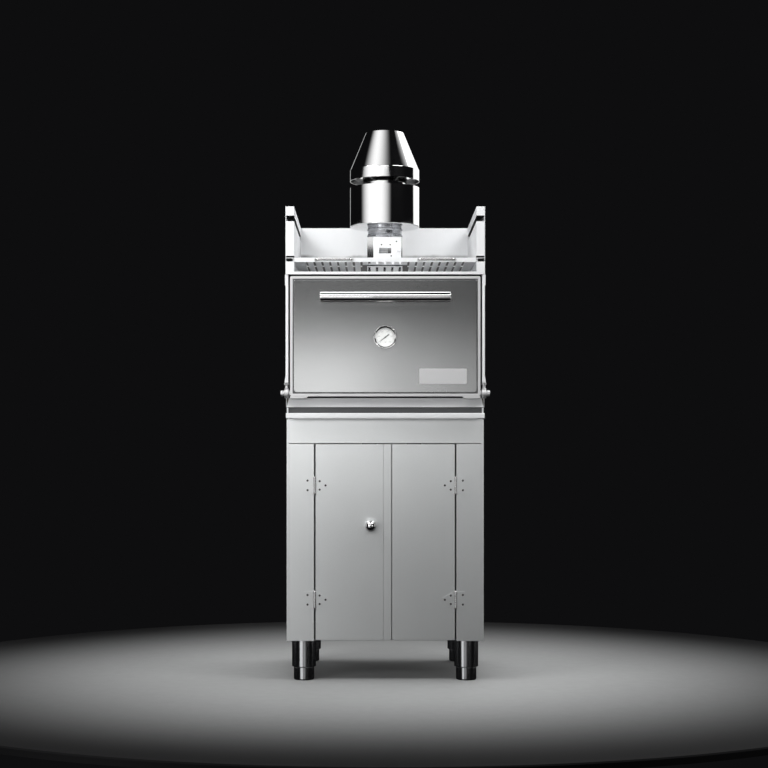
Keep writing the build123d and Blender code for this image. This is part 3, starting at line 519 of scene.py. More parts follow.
def rounded(corners, radius, steps, closed=True):
    """A polygon or a path with rounded corners: an arc touches both sides at radius / tan(half the corner's angle)
    from the corner, about a centre at radius / sin(half the angle) from it. A point just outside each end of the
    arc keeps the flat beside it flat."""
    corners = np.asarray(corners, float)
    radii = np.broadcast_to(np.asarray(radius, float), len(corners))
    last = len(corners) - 1
    stretches = []
    for index, corner in enumerate(corners):
        if radii[index] == 0 or (not closed and index in (0, last)):
            stretches.append(corner[None])
            continue
        before = corners[index - 1] - corner
        after = corners[(index + 1) % len(corners)] - corner
        before /= np.linalg.norm(before)
        after /= np.linalg.norm(after)
        half = np.arccos(np.clip(before @ after, -1, 1)) / 2
        inward = (before + after) / np.linalg.norm(before + after)
        centre = corner + inward * radii[index] / np.sin(half)
        start = corner + before * radii[index] / np.tan(half) - centre
        end = corner + after * radii[index] / np.tan(half) - centre
        turn = np.pi - 2 * half
        share = np.linspace(0, 1, steps + 1)[:, None]
        arc = centre + (np.sin((1 - share) * turn) * start + np.sin(share * turn) * end) / np.sin(turn)
        firm = radii[index] * arc_guard
        stretches.append(np.concatenate([arc[:1] + before * firm, arc, arc[-1:] + after * firm]))
    return np.concatenate(stretches)


def turned(profile, centre, axis, segments):
    """A profile of radius and height turned about an axis through the centre: each point goes round as
    radius (cos a, sin a) across the axis, and height along it."""
    along, side, up = np.eye(3)[axis], np.eye(3)[(axis + 1) % 3], np.eye(3)[(axis + 2) % 3]
    angle = np.linspace(0, 2 * np.pi, segments, endpoint=False)[:, None]
    ring = np.cos(angle) * side + np.sin(angle) * up
    radius, height = np.asarray(profile, float).T
    return np.asarray(centre) + radius[:, None, None] * ring + height[:, None, None] * along


def tube(path, radius, up, sides, closed=False):
    """Circles carried along a path: each point is the path's, plus radius cos a sideways and radius sin a upwards,
    where sideways is square to the path and to the given up. The radius may change over the grid."""
    path = np.asarray(path, float)
    if closed:
        ahead = np.roll(path, -1, 0) - np.roll(path, 1, 0)
    else:
        ahead = np.gradient(path, axis=0)
    ahead /= np.linalg.norm(ahead, axis=1)[:, None]
    side = np.cross(ahead, up)
    side /= np.linalg.norm(side, axis=1)[:, None]
    over = np.cross(side, ahead)
    angle = np.linspace(0, 2 * np.pi, sides, endpoint=False)
    size = np.broadcast_to(np.asarray(radius, float), (len(path), sides))
    across = np.cos(angle)[None, :, None] * side[:, None] + np.sin(angle)[None, :, None] * over[:, None]
    return path[:, None] + size[..., None] * across


def rectangle(half_width, half_height, radii, inset=0.0, steps=6):
    """A rectangle's outline about its middle, drawn in by the inset, with a radius for each corner."""
    width, height = half_width - inset, half_height - inset
    corners = [(width, -height), (width, height), (-width, height), (-width, -height)]
    return rounded(corners, np.maximum(np.asarray(radii, float) - inset, 0.1 * mm), steps)


def soft_layers(back, front, edge, steps=4):
    """Inset and depth of the layers of a plate from its back to its front, over a quarter round of the given edge,
    with a layer just outside each end of the round."""
    turn = np.linspace(0, np.pi / 2, steps + 1)
    facing = np.sign(front - back)
    arc = [(edge * (1 - math.cos(t)), front - facing * edge * (1 - math.sin(t))) for t in turn]
    firm = edge * arc_guard
    return [(0.0, back), (0.0, front - facing * (edge + firm)), *arc, (edge + firm, front)]


def facing_plate(outline, layers, centre):
    """Outlines stacked towards the front: each layer is the outline at its inset, at its own depth along Y."""
    stack = []
    for inset, depth in layers:
        shape = outline(inset)
        stack.append(np.column_stack([shape[:, 0] + centre[0], np.full(len(shape), depth), shape[:, 1] + centre[2]]))
    return np.array(stack)


def quads(rows, columns, wrap_rows):
    """Corner numbers of the faces between neighbours of a grid whose columns go round, and rows too if asked."""
    row = np.arange(rows if wrap_rows else rows - 1)[:, None]
    column = np.arange(columns)[None, :]
    next_row, next_column = (row + 1) % rows, (column + 1) % columns
    corners = (row * columns + column, row * columns + next_column,
               next_row * columns + next_column, next_row * columns + column)
    return np.stack(corners, -1).reshape(-1, 4)


def rows_of(collection, field):
    """A field of a mesh's vertices or faces, such as their places, as rows of three."""
    values = np.zeros(len(collection) * 3)
    collection.foreach_get(field, values)
    return values.reshape(-1, 3)


def smoothed(mesh, angle):
    """Shades a mesh smoothly, except across edges over the angle."""
    mesh.polygons.foreach_set("use_smooth", np.ones(len(mesh.polygons), bool))
    mesh.set_sharp_from_angle(angle=math.radians(angle))
    return mesh


def tidy_mesh(name, points, faces, sharp=crease_angle):
    """A mesh with coinciding points merged, faces turned outwards, and edges over the sharp angle kept crisp."""
    mesh = bpy.data.meshes.new(name)
    mesh.from_pydata(points.tolist(), [], faces)
    edit = bmesh.new()
    edit.from_mesh(mesh)
    bmesh.ops.remove_doubles(edit, verts=edit.verts, dist=merge_distance)
    bmesh.ops.recalc_face_normals(edit, faces=edit.faces)
    edit.to_mesh(mesh)
    edit.free()
    return smoothed(mesh, sharp)


def place_piece(name, mesh, finish, body, stands_for):
    """Puts a mesh in the scene with its finish, on its body, in place of the frame's nodes that it stands for."""
    piece = in_scene(name, mesh)
    mesh.materials.clear()
    mesh.materials.append(finish)
    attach(piece, body)
    if stands_for:
        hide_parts(*stands_for)
    return piece


def grid_piece(name, grids, finish, body, *stands_for, sharp=crease_angle):
    """One piece from closed grids: columns go round, and rows either go round too, marked by "ring", or end in flat
    caps, marked by "solid"."""
    points, faces, start = [], [], 0
    for grid, kind in grids:
        rows, columns = grid.shape[:2]
        faces += (quads(rows, columns, kind == "ring") + start).tolist()
        if kind == "solid":
            faces.append([start + column for column in range(columns)])
            faces.append([start + (rows - 1) * columns + column for column in range(columns)])
        points.append(grid.reshape(-1, 3))
        start += rows * columns
    place_piece(name, tidy_mesh(name, np.concatenate(points), faces, sharp), finish, body, stands_for)


def turned_piece(name, profile, centre, axis, segments, finish, body, node, kind="solid"):
    """One profile turned into a piece that stands for one node."""
    grid_piece(name, [(turned(profile, centre, axis, segments), kind)], finish, body, node)


def soft_edged(node, edge, finish):
    """A merged copy of a frame node with its edges rounded, which stands for it on its own body."""
    source = nodes[node].data
    mesh = bpy.data.meshes.new(node + "_skin")
    mesh.from_pydata(rows_of(source.vertices, "co").tolist(), [], [list(face.vertices) for face in source.polygons])
    edit = bmesh.new()
    edit.from_mesh(mesh)
    bmesh.ops.remove_doubles(edit, verts=edit.verts, dist=merge_distance)
    bmesh.ops.dissolve_limit(edit, angle_limit=math.radians(flat_angle), verts=edit.verts, edges=edit.edges)
    edit.to_mesh(mesh)
    edit.free()
    piece = place_piece(node + "_skin", smoothed(mesh, bevel_angle), finish, nodes[node]["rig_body"], (node,))
    bevel = piece.modifiers.new("edge", "BEVEL")
    bevel.width = edge
    bevel.segments = 2
    bevel.limit_method = "ANGLE"
    bevel.angle_limit = math.radians(bevel_angle)
    bevel.harden_normals = True
    return kept_inside(piece, node)


def kept_inside(piece, node):
    """Makes the bevel part of the mesh, and moves any corner that it pushed out of the node's box back to the box."""
    mesh = bpy.data.meshes.new_from_object(piece.evaluated_get(bpy.context.evaluated_depsgraph_get()))
    piece.modifiers.clear()
    mesh.vertices.foreach_set("co", np.clip(rows_of(mesh.vertices, "co"), low(node), high(node)).ravel())
    piece.data = mesh
    return piece


# Sheet metal

def sheet_metal(finishes):
    """Every folded or flat piece keeps its shape, and gets rounded edges and its finish."""
    skin, satin, rim = finishes["skin"], finishes["satin"], finishes["rim"]
    for node in ("cabinet_walls", "cabinet_floor", "cabinet_deck", "cabinet_stiles", "cabinet_fascia",
                 "cupboard_door_left", "cupboard_door_right", "door_edge_strip"):
        soft_edged(node, skin_edge, skin)
    for node in ("oven_risers", "oven_skirt", "oven_casing", "oven_roof", "rack_shelf", "draught_shutter",
                 "drip_tray", "hood_straps"):
        soft_edged(node, skin_edge, satin)
    # Painted shade: a dark band low on the rack's back, a near-black frame round the door's opening and in the shelf
    # grooves, a grey oven bottom, dark rivet heads and darkened wool
    soft_edged("rack_back", skin_edge, finishes["back_shade"])
    soft_edged("flue_box", skin_edge, finishes["mirror"])
    soft_edged("oven_front_frame", skin_edge, finishes["black_shade"])
    soft_edged("oven_bottom", skin_edge, finishes["grey_shade"])
    line_grooves(soft_edged("rack_sides", skin_edge, satin), finishes["black_shade"])
    darken_rivets(soft_edged("shutter_cover", skin_edge, satin), finishes["screw"])
    soft_edged("hanger_bars", bar_edge, satin)
    for node, edge in (("door_shell", rim_edge), ("door_corner_brackets", skin_edge)):
        soft_edged(node, edge, rim)
    for node in ("oven_liner", "grill_rails", "door_plug"):
        soft_edged(node, skin_edge, finishes["liner"])
    soft_edged("charcoal_grate", casting_edge, finishes["iron"])
    soft_edged("cooking_grill", skin_edge, finishes["rod"])
    soft_edged("magnetic_catches", skin_edge, finishes["plastic"])
    for node in ("oven_insulation", "door_insulation"):
        soft_edged(node, wool_edge, finishes["wool"])


def line_grooves(piece, finish):
    """Gives the finish, near-black painted shade, to the faces inside the two shelf grooves: those whose middle lies
    between a groove's edges and inwards of the side's outer face."""
    x, _, z = rows_of(piece.data.polygons, "center").T
    level = [(z > bottom - face_margin) & (z < top + face_margin) for bottom, top in shelf_grooves]
    refinish(piece.data, np.any(level, 0) & (np.abs(x) < high("rack_sides")[0] - face_margin), finish)


def darken_rivets(piece, finish):
    """Gives the dark finish, painted shade, to the rivets' heads: every face that reaches in front of the cover's
    flat face.
    """
    flat_face = low("shutter_cover")[1] + rivet_rise
    refinish(piece.data, rows_of(piece.data.polygons, "center")[:, 1] < flat_face - face_margin, finish)


def refinish(mesh, chosen, finish):
    """Gives the chosen faces a second finish."""
    mesh.materials.append(finish)
    mesh.polygons.foreach_set("material_index", chosen.astype(np.int32))


# Legs and feet

def legs(finish):
    """On each foot's axis, a turned tube over a turned foot with a shoulder and a rounded bottom rim."""
    tubes = []
    leg_low, leg_high = low("leg_tubes")[2], high("leg_tubes")[2]
    leg_radius = high("leg_tubes")[0] - middle("foot_front_right")[0]
    shoulder = leg_low - foot_shoulder_drop
    for foot in [name for name in nodes if name.startswith("foot_")]:
        centre = middle(foot) * (1, 1, 0)
        profile = rounded([(0, leg_low), (leg_radius, leg_low), (leg_radius, leg_high), (0, leg_high)],
                          [0, leg_lip, 0, 0], 3)
        tubes.append((turned(profile, centre, 2, 64), "solid"))
        radius = high(foot)[0] - centre[0]
        stem = radius * foot_stem_share
        outline = rounded([(0, 0), (radius - foot_rim, 0), (radius, foot_rim), (radius, shoulder),
                           (stem, shoulder), (stem, leg_low), (0, leg_low)],
                          [0, foot_rim_round, foot_rim_round, foot_shoulder_round, 0, 0, 0], 3)
        turned_piece(foot + "_turned", outline, centre, 2, 64, finish, foot, foot)
    grid_piece("leg_tubes_polished", tubes, finish, "cabinet", "leg_tubes")


# Cupboard: ball knob and the four hinges

def knob(finish):
    """A ball on a neck that rises from a rosette: the ball's points are its radius times sin and cos of an angle."""
    front = high("cupboard_knob")[1]
    centre = middle("cupboard_knob")
    centre[1] = front
    radius = (high("cupboard_knob")[0] - low("cupboard_knob")[0]) / 2
    ball = front - low("cupboard_knob")[1] - radius
    angle = np.linspace(math.radians(ball_sweep), 0, 24)
    sphere = np.column_stack([radius * np.sin(angle), -ball - radius * np.cos(angle)])
    neck = [(across * rosette_radius, -rise * rosette_rise) for across, rise in rosette_profile]
    neck.append((neck[-1][0], -ball + radius * neck_end))
    turned_piece("cupboard_ball_knob", np.concatenate([neck, sphere]), centre, 1, 72, finish,
                 "cupboard_door_left", "cupboard_knob")


def cupboard_hinges(finish, knuckle_finish, screw_finish):
    """Each hinge has three knuckles on a headed pin, a square frame leaf and a door leaf that narrows."""
    axis = np.array(joints["cupboard_door_right_swing"]["pos_m"])
    leaf_high = high("hinge_frame_leaves")
    face = leaf_high[1]
    frame_end = leaf_high[0] - axis[0]
    door_end = axis[0] - low("door_leaves_right")[0]
    third = hinge_height / 3
    frame_leaves, frame_knuckles, frame_screws = [], [], []
    door_leaves, door_knuckles, door_screws = ({"left": [], "right": []} for _ in range(3))

    def leaf(outline, side):
        flat = rounded(outline, leaf_corner, 3) * (side, 1)
        depths = (face, face - leaf_thickness + leaf_round, face - leaf_thickness)
        return np.array([np.column_stack([flat[:, 0] + side * axis[0], np.full(len(flat), depth), flat[:, 1]])
                         for depth in depths]), "solid"

    def screw(x, z, side):
        return turned(screw_profile, (side * (axis[0] + x), face - leaf_thickness, z), 1, 20), "solid"

    def barrel(start, end, side):
        shape = rounded([(0, start), (knuckle_radius, start), (knuckle_radius, end), (0, end)],
                        [0, knuckle_round, knuckle_round, 0], 2)
        return turned(shape, (side * axis[0], axis[1], 0), 2, 24), "solid"

    def headed_pin(bottom, top, side):
        profile = np.concatenate([pin_profile * (1, -1) + (0, bottom), pin_profile[::-1] + (0, top)])
        return turned(profile, (side * axis[0], axis[1], 0), 2, 20), "solid"

    for side, door in ((-1, "left"), (1, "right")):
        for centre in (low("hinge_frame_leaves")[2] + hinge_height / 2, leaf_high[2] - hinge_height / 2):
            bottom, top = centre - hinge_height / 2, centre + hinge_height / 2
            frame_leaves.append(leaf([(knuckle_radius, bottom), (frame_end, bottom), (frame_end, top),
                                      (knuckle_radius, top)], side))
            door_leaves[door].append(leaf([(-door_end, centre - leaf_tip), (-knuckle_radius, bottom),
                                           (-knuckle_radius, top), (-door_end, centre + leaf_tip)], side))
            frame_knuckles.append(barrel(bottom, bottom + third - knuckle_gap, side))
            frame_knuckles.append(barrel(top - third + knuckle_gap, top, side))
            door_knuckles[door].append(barrel(bottom + third, top - third, side))
            frame_knuckles.append(headed_pin(bottom, top, side))
            for way in (-1, 1):
                frame_screws.append(screw(frame_screw[0], centre + way * frame_screw[1], side))
                door_screws[door].append(screw(-door_screw[0], centre + way * door_screw[1], side))
            door_screws[door].append(screw(-door_tip_screw, centre, side))

    grid_piece("hinge_frame_plates", frame_leaves, finish, "cabinet", "hinge_frame_leaves")
    grid_piece("hinge_frame_knuckles", frame_knuckles, knuckle_finish, "cabinet", "hinge_pins_and_screws")
    grid_piece("hinge_frame_screws", frame_screws, screw_finish, "cabinet")
    for door in ("left", "right"):
        grid_piece(f"hinge_door_plates_{door}", door_leaves[door], finish, f"cupboard_door_{door}",
                   f"door_leaves_{door}")
        grid_piece(f"hinge_door_knuckles_{door}", door_knuckles[door], knuckle_finish, f"cupboard_door_{door}")
        grid_piece(f"hinge_door_screws_{door}", door_screws[door], screw_finish, f"cupboard_door_{door}")


# Oven door: pressed panel, bare plate, handle and posts, rope seal

def door_panel(finish, flange_finish):
    """A pressed pan: its flange lies deeper, behind the shell's rim, and shows as a groove round the panel, which its
    grey finish darkens with painted shade.
    """
    box_low, box_high = low("door_panel"), high("door_panel")
    centre = middle("door_panel")
    half = (box_high - box_low) / 2
    radii = (panel_low_corner, panel_top_corner, panel_top_corner, panel_low_corner)
    front = box_low[1]
    flange_front = front + panel_flange_depth

    def outline(inset):
        return rectangle(half[0], half[2], radii, inset)

    layers = [(0.0, box_high[1]), *soft_layers(flange_front, front, panel_edge)]
    grid_piece("oven_door_panel", [(facing_plate(outline, layers, centre), "solid")], finish,
               "oven_door", "door_panel")
    reach = -panel_flange_reach
    layers = [(reach, flange_front + panel_flange_thickness), (reach, flange_front), (panel_edge, flange_front),
              (panel_edge, flange_front + panel_flange_thickness)]
    grid_piece("oven_door_panel_flange", [(facing_plate(outline, layers, centre), "ring")], flange_finish,
               "oven_door")


def door_plate(finish):
    """The raised plate at the door's lower right, left bare."""
    box_low, box_high = low("door_plate"), high("door_plate")
    half = (box_high - box_low) / 2

    def outline(inset):
        return rectangle(half[0], half[2], [plate_corner] * 4, inset)

    layers = soft_layers(box_high[1], box_low[1], plate_edge, 3)
    grid_piece("bare_door_plate", [(facing_plate(outline, layers, middle("door_plate")), "solid")], finish,
               "oven_door", "door_plate")


def handle(finish):
    """A tube with rounded ends, on two posts with a wide turned foot each."""
    box_low, box_high = low("door_handle"), high("door_handle")
    centre = middle("door_handle")
    half = (box_high - box_low) / 2
    outline = rounded([(0, -half[0]), (half[2], -half[0]), (half[2], half[0]), (0, half[0])],
                      [0, handle_end_edge, handle_end_edge, 0], 5)
    turned_piece("door_handle_tube", outline, centre, 0, 96, finish, "oven_door", "door_handle")

    post_low, post_high = low("handle_posts"), high("handle_posts")
    back = post_high[1]
    foot = back - post_foot_thickness
    post_radius = (post_high[2] - post_low[2]) / 2
    stem = rounded([(0, centre[1]), (post_radius, centre[1]), (post_radius, foot), (post_foot_radius, foot),
                    (post_foot_radius, back), (0, back)], [0, 0, post_hollow, post_foot_round, 0, 0], 3)
    posts = [(turned(stem, (side * (post_high[0] - post_radius), 0, centre[2]), 1, 40), "solid") for side in (-1, 1)]
    grid_piece("turned_handle_posts", posts, finish, "oven_door", "handle_posts")


def rope_seal(finish):
    """A twisted rope round the door's plug: its radius swells and thins as three strands wind along it."""
    box_low, box_high = low("door_seal"), high("door_seal")
    half = (box_high - box_low) / 2
    centre = middle("door_seal")
    radius = half[1] * rope_fill
    line = rectangle(half[0] - radius, half[2] - radius, [3 * radius] * 4, steps=10)
    path = np.column_stack([line[:, 0] + centre[0], np.full(len(line), centre[1]), line[:, 1] + centre[2]])
    path = evenly(path, rope_step)
    along = np.arange(len(path))[:, None] * rope_step
    angle = np.linspace(0, 2 * np.pi, 12, endpoint=False)[None]
    size = radius * (1 - rope_swell + rope_swell * np.cos(3 * angle + 2 * np.pi * along / rope_twist))
    grid_piece("rope_door_seal", [(tube(path, size, (0, 1, 0), 12, closed=True), "ring")], finish,
               "oven_door", "door_seal", sharp=180)


def evenly(path, step):
    """A closed path's points, moved to even spacing along it."""
    ends = np.vstack([path, path[:1]])
    distance = np.concatenate([[0], np.cumsum(np.linalg.norm(np.diff(ends, axis=0), axis=1))])
    stops = np.arange(0, distance[-1], step)
    return np.column_stack([np.interp(stops, distance, ends[:, axis]) for axis in range(3)])


# Door hangers: forged eyes on threaded studs, lock nuts and pivot bolts

def threaded(radius, start, end, centre):
    """A stud whose radius follows a triangle wave of the height less the turn, which winds as a thread."""
    rows = int((end - start) / thread_pitch * 6) + 1
    height = np.linspace(start, end, rows)[:, None]
    angle = np.linspace(0, 2 * np.pi, 24, endpoint=False)[None]
    wave = np.abs(((height / thread_pitch - angle / (2 * np.pi)) % 1) * 2 - 1)
    size = radius - thread_depth * wave
    ring = np.stack([np.cos(angle) * size, np.sin(angle) * size, np.broadcast_to(height, size.shape)], -1)
    return ring + np.asarray(centre)


def hexagon_nut(flat, start, end, centre, axis, chamfer):
    """A hexagon whose corners are cut back to a circle at both ends."""
    angle = np.linspace(0, 2 * np.pi, 48, endpoint=False)
    hexagon = flat / np.cos((angle + np.pi / 6) % (np.pi / 3) - np.pi / 6)
    circle = np.minimum(hexagon, flat)
    along, side, up = np.eye(3)[axis], np.eye(3)[(axis + 1) % 3], np.eye(3)[(axis + 2) % 3]
    way = np.cos(angle)[:, None] * side + np.sin(angle)[:, None] * up
    layers = ((circle, start), (hexagon, start + chamfer), (hexagon, end - chamfer), (circle, end))
    return np.array([np.asarray(centre) + size[:, None] * way + height * along for size, height in layers])


def door_hangers(finish):
    """On each side an eye on a threaded stud with a lock nut, and a bolt through it with boss, washer and head."""
    axis = np.array(joints["oven_door_drop"]["pos_m"])
    middle_line = (0, axis[1], axis[2])
    outer = high("hinge_eyes")[0]
    inner = outer - eye_width
    foot = high("hinge_eyes")[2]
    eye_radius = axis[2] - low("hinge_eyes")[2]
    head_end = high("pivot_bolts")[0]
    shell = high("door_shell")[0]
    washer = outer + hanger_gap
    head = washer + washer_thickness
    eyes, bolts = [], []

    def bolt_part(radius, start, end, corner, side):
        outline = rounded([(0, side * start), (radius, side * start), (radius, side * end), (0, side * end)],
                          [0, corner, corner, 0], 3)
        return turned(outline, middle_line, 0, 48), "solid"

    for side in (-1, 1):
        inner_x, outer_x = sorted((side * inner, side * outer))
        ring = rounded([(eye_bore, inner_x), (eye_radius, inner_x), (eye_radius, outer_x), (eye_bore, outer_x)],
                       [eye_bore_round, eye_round, eye_round, eye_bore_round], 4)
        eyes.append((turned(ring, middle_line, 0, 64), "ring"))
        stud_line = ((inner_x + outer_x) / 2, axis[1], 0)
        eyes.append((threaded(stud_radius, axis[2] + stud_start, foot, stud_line), "solid"))
        eyes.append((hexagon_nut(lock_nut_flat, foot - lock_nut_height, foot - lock_nut_gap, stud_line, 2,
                                 lock_nut_chamfer), "solid"))
        bolts.append(bolt_part(boss_radius, shell, inner - hanger_gap, boss_round, side))
        bolts.append(bolt_part(bolt_radius, shell, washer, 0, side))
        bolts.append(bolt_part(washer_radius, washer, head, washer_round, side))
        start, end = sorted((side * head, side * head_end))
        bolts.append((hexagon_nut(bolt_head_flat, start, end, middle_line, 0, bolt_head_chamfer), "solid"))
    grid_piece("forged_hinge_eyes", eyes, finish, "cabinet", "hinge_eyes")
    grid_piece("hexagon_pivot_bolts", bolts, finish, "oven_door", "pivot_bolts")


# Thermometer: case, bevelled bezel, pane, dial with its scale, and needle

def thermometer(finishes):
    """Turned case with its probe, bevelled bezel, pane and dial about one axis, then the print and the needle."""
    case_low, case_high = low("thermometer_case"), high("thermometer_case")
    centre = np.array([0, 0, middle("thermometer_case")[2]])
    radius = (case_high[0] - case_low[0]) / 2
    front, probe_end = case_low[1], case_high[1]
    back = joints["thermometer_needle_turn"]["pos_m"][1]
    bore, glass_back = high("thermometer_glass")[:2]
    well, floor = high("thermometer_dial")[:2]
    face = low("thermometer_dial")[1]
    outer, rear = high("thermometer_bezel")[:2]
    lip = low("thermometer_bezel")[1]
    throat = bore - throat_lip

    case = [(0, probe_end), (probe_tip_radius, probe_end - probe_tip_rise),
            (probe_radius, probe_end - probe_tip_length), (probe_radius, back), (radius, back), (radius, front),
            (bore, front), (bore, glass_back), (well, glass_back), (well, floor), (0, floor)]
    turned_piece("thermometer_cup", case, centre, 1, 96, finishes["turned"], "oven_door", "thermometer_case")
    ring = rounded([(radius, rear), (outer, rear), (outer, lip), (outer - bezel_land, lip),
                    (throat, front - throat_depth), (throat, front), (radius, front)], bezel_rounds, 4)
    turned_piece("thermometer_bevelled_bezel", ring, centre, 1, 128, finishes["mirror"], "oven_door",
                 "thermometer_bezel", "ring")
    pane = [(0, front), (bore, front), (bore, glass_back), (0, glass_back)]
    turned_piece("thermometer_pane", pane, centre, 1, 64, finishes["glass"], "oven_door", "thermometer_glass")
    disc = [(0, face), (well - dial_round, face), (well, face + dial_round), (well, floor), (0, floor)]
    turned_piece("thermometer_face", disc, centre, 1, 96, finishes["enamel"], "oven_door", "thermometer_dial")
    dial_print(centre, face, finishes["print"], finishes["needle"])
    needle(centre, face, finishes["needle"])


def scale_turn(share):
    """The angle of a place on the scale, from its start at 0 to its end at 1, clockwise."""
    return np.radians(scale_start - scale_sweep * np.asarray(share))


def dial_print(centre, face, finish, unit_finish):
    """Marks that point to the middle, a thin arc outside them, the numbers, and the degree sign."""
    marks = []
    for index, turn in enumerate(scale_turn(np.linspace(0, 1, scale_marks))):
        long = index % long_mark_every == 0
        inner = mark_radius - mark_length * (long_mark_share if long else 1.0)
        half = long_mark_half_width if long else mark_half_width
        out, side = np.array([math.cos(turn), 0, math.sin(turn)]), np.array([-math.sin(turn), 0, math.cos(turn)])
        corners = np.array([inner * out - half * side, mark_radius * out - half * side,
                            mark_radius * out + half * side, inner * out + half * side])
        depth = np.array([[0, face, 0], [0, face - print_rise, 0]])
        marks.append((centre + corners[None] + depth[:, None], "solid"))
    angle = scale_turn(np.linspace(0, 1, 91))
    arc = np.column_stack([arc_radius * np.cos(angle), np.full(len(angle), face), arc_radius * np.sin(angle)])
    marks.append((tube(centre + arc, arc_half_width, (0, 1, 0), 6), "solid"))
    grid_piece("thermometer_marks", marks, finish, "oven_door")

    for value, turn in zip(scale_numbers, scale_turn(np.linspace(0, 1, len(scale_numbers)))):
        place = centre + number_radius * np.array([math.cos(turn), 0, math.sin(turn)])
        lettering(f"thermometer_number_{value}", str(value), place, face, number_height, finish)
    lettering("thermometer_unit", "°C", centre - (0, 0, unit_drop), face, unit_height, unit_finish)


def lettering(name, words, place, face, height, finish):
    """Flat raised figures, centred on a place on the dial."""
    text = bpy.data.curves.new(name, "FONT")
    text.body = words
    text.size = height
    text.align_x = "CENTER"
    text.align_y = "CENTER"
    text.extrude = print_rise / 2
    text.resolution_u = 3
    source = bpy.data.objects.new(name + "_text", text)
    mesh = bpy.data.meshes.new_from_object(source)
    bpy.data.objects.remove(source)
    flat = rows_of(mesh.vertices, "co")
    standing = np.column_stack([flat[:, 0] + place[0], face - print_rise / 2 - flat[:, 2], flat[:, 1] + place[2]])
    faces = [list(polygon.vertices) for polygon in mesh.polygons]
    place_piece(name, tidy_mesh(name, standing, faces), finish, "oven_door", ())


def needle(centre, face, finish):
    """A blade that narrows to its tip, with a wide tail and a domed hub."""
    turn = math.radians(needle_rest)
    out, side = np.array([math.cos(turn), math.sin(turn)]), np.array([-math.sin(turn), math.cos(turn)])
    flat = needle_shape[:, :1] * out + needle_shape[:, 1:] * side
    blade_front = low("thermometer_needle")[1] + needle_inset
    layers = [np.column_stack([flat[:, 0], np.full(len(flat), depth), flat[:, 1]]) + centre
              for depth in (blade_front + needle_thickness, blade_front)]
    hub_back, hub_front = blade_front + needle_thickness + needle_inset, blade_front - needle_inset
    pin_end = face + hub_pin_gap
    hub = rounded([(0, pin_end), (hub_pin_radius, pin_end), (hub_pin_radius, hub_back), (hub_radius, hub_back),
                   (hub_radius, hub_front), (0, hub_front)], [0, 0, 0, 0, hub_round, 0], 3)
    grid_piece("thermometer_pointer", [(np.array(layers), "solid"), (turned(hub, centre, 1, 32), "solid")], finish,
               "thermometer_needle", "thermometer_needle")


# Rack grips and flue

def shelf_grips(finish):
    """Rods bent to a flat U: two legs square to the shelf's front and a straight hand bar."""
    box_low, box_high = low("shelf_grips"), high("shelf_grips")
    radius = (box_high[2] - box_low[2]) / 2
    z = middle("shelf_grips")[2]
    front, back = box_low[1] + radius, box_high[1]
    outer = box_high[0] - radius
    inner = outer - grip_length + 2 * radius
    rods = []
    for side in (-1, 1):
        path = rounded([(side * inner, back, z), (side * inner, front, z), (side * outer, front, z),
                        (side * outer, back, z)], grip_bend, 7, closed=False)
        rods.append((tube(path, radius, (0, 0, 1), 20), "solid"))
    grid_piece("bent_shelf_grips", rods, finish, "rack_shelf", "shelf_grips")


def inlet_blades(finish):
    """Sloping blades behind the air inlet, fixed inside the flue box: each is a thin slat, low at the front."""
    cover_low, cover_high = low("shutter_cover"), high("shutter_cover")
    near = cover_high[1] + blade_gap
    bottom, top = inlet_rise[0] + cover_low[2], inlet_rise[1] + cover_low[2]
    pitch = (top - bottom) / blade_count
    far, rise = near + pitch, pitch * blade_slope
    ends = (cover_low[0] + blade_inset, cover_high[0] - blade_inset)
    slats = []
    for index in range(blade_count):
        z = bottom + pitch * index
        section = np.array([(near, z), (far, z + rise), (far, z + rise + blade_sheet), (near, z + blade_sheet)])
        slats.append((np.array([np.column_stack([np.full(4, x), section]) for x in ends]), "solid"))
    grid_piece("inlet_blades", slats, finish, "cabinet")


def wall_profile(line, thickness):
    """A sheet's section from the line of its outside, given from bottom to top: the inside runs back down,
    moved in by the thickness."""
    line = np.asarray(line, float)
    ahead = np.gradient(line, axis=0)
    ahead /= np.linalg.norm(ahead, axis=1)[:, None]
    inside = line + thickness * np.column_stack([-ahead[:, 1], ahead[:, 0]])
    return np.concatenate([line, inside[::-1]])


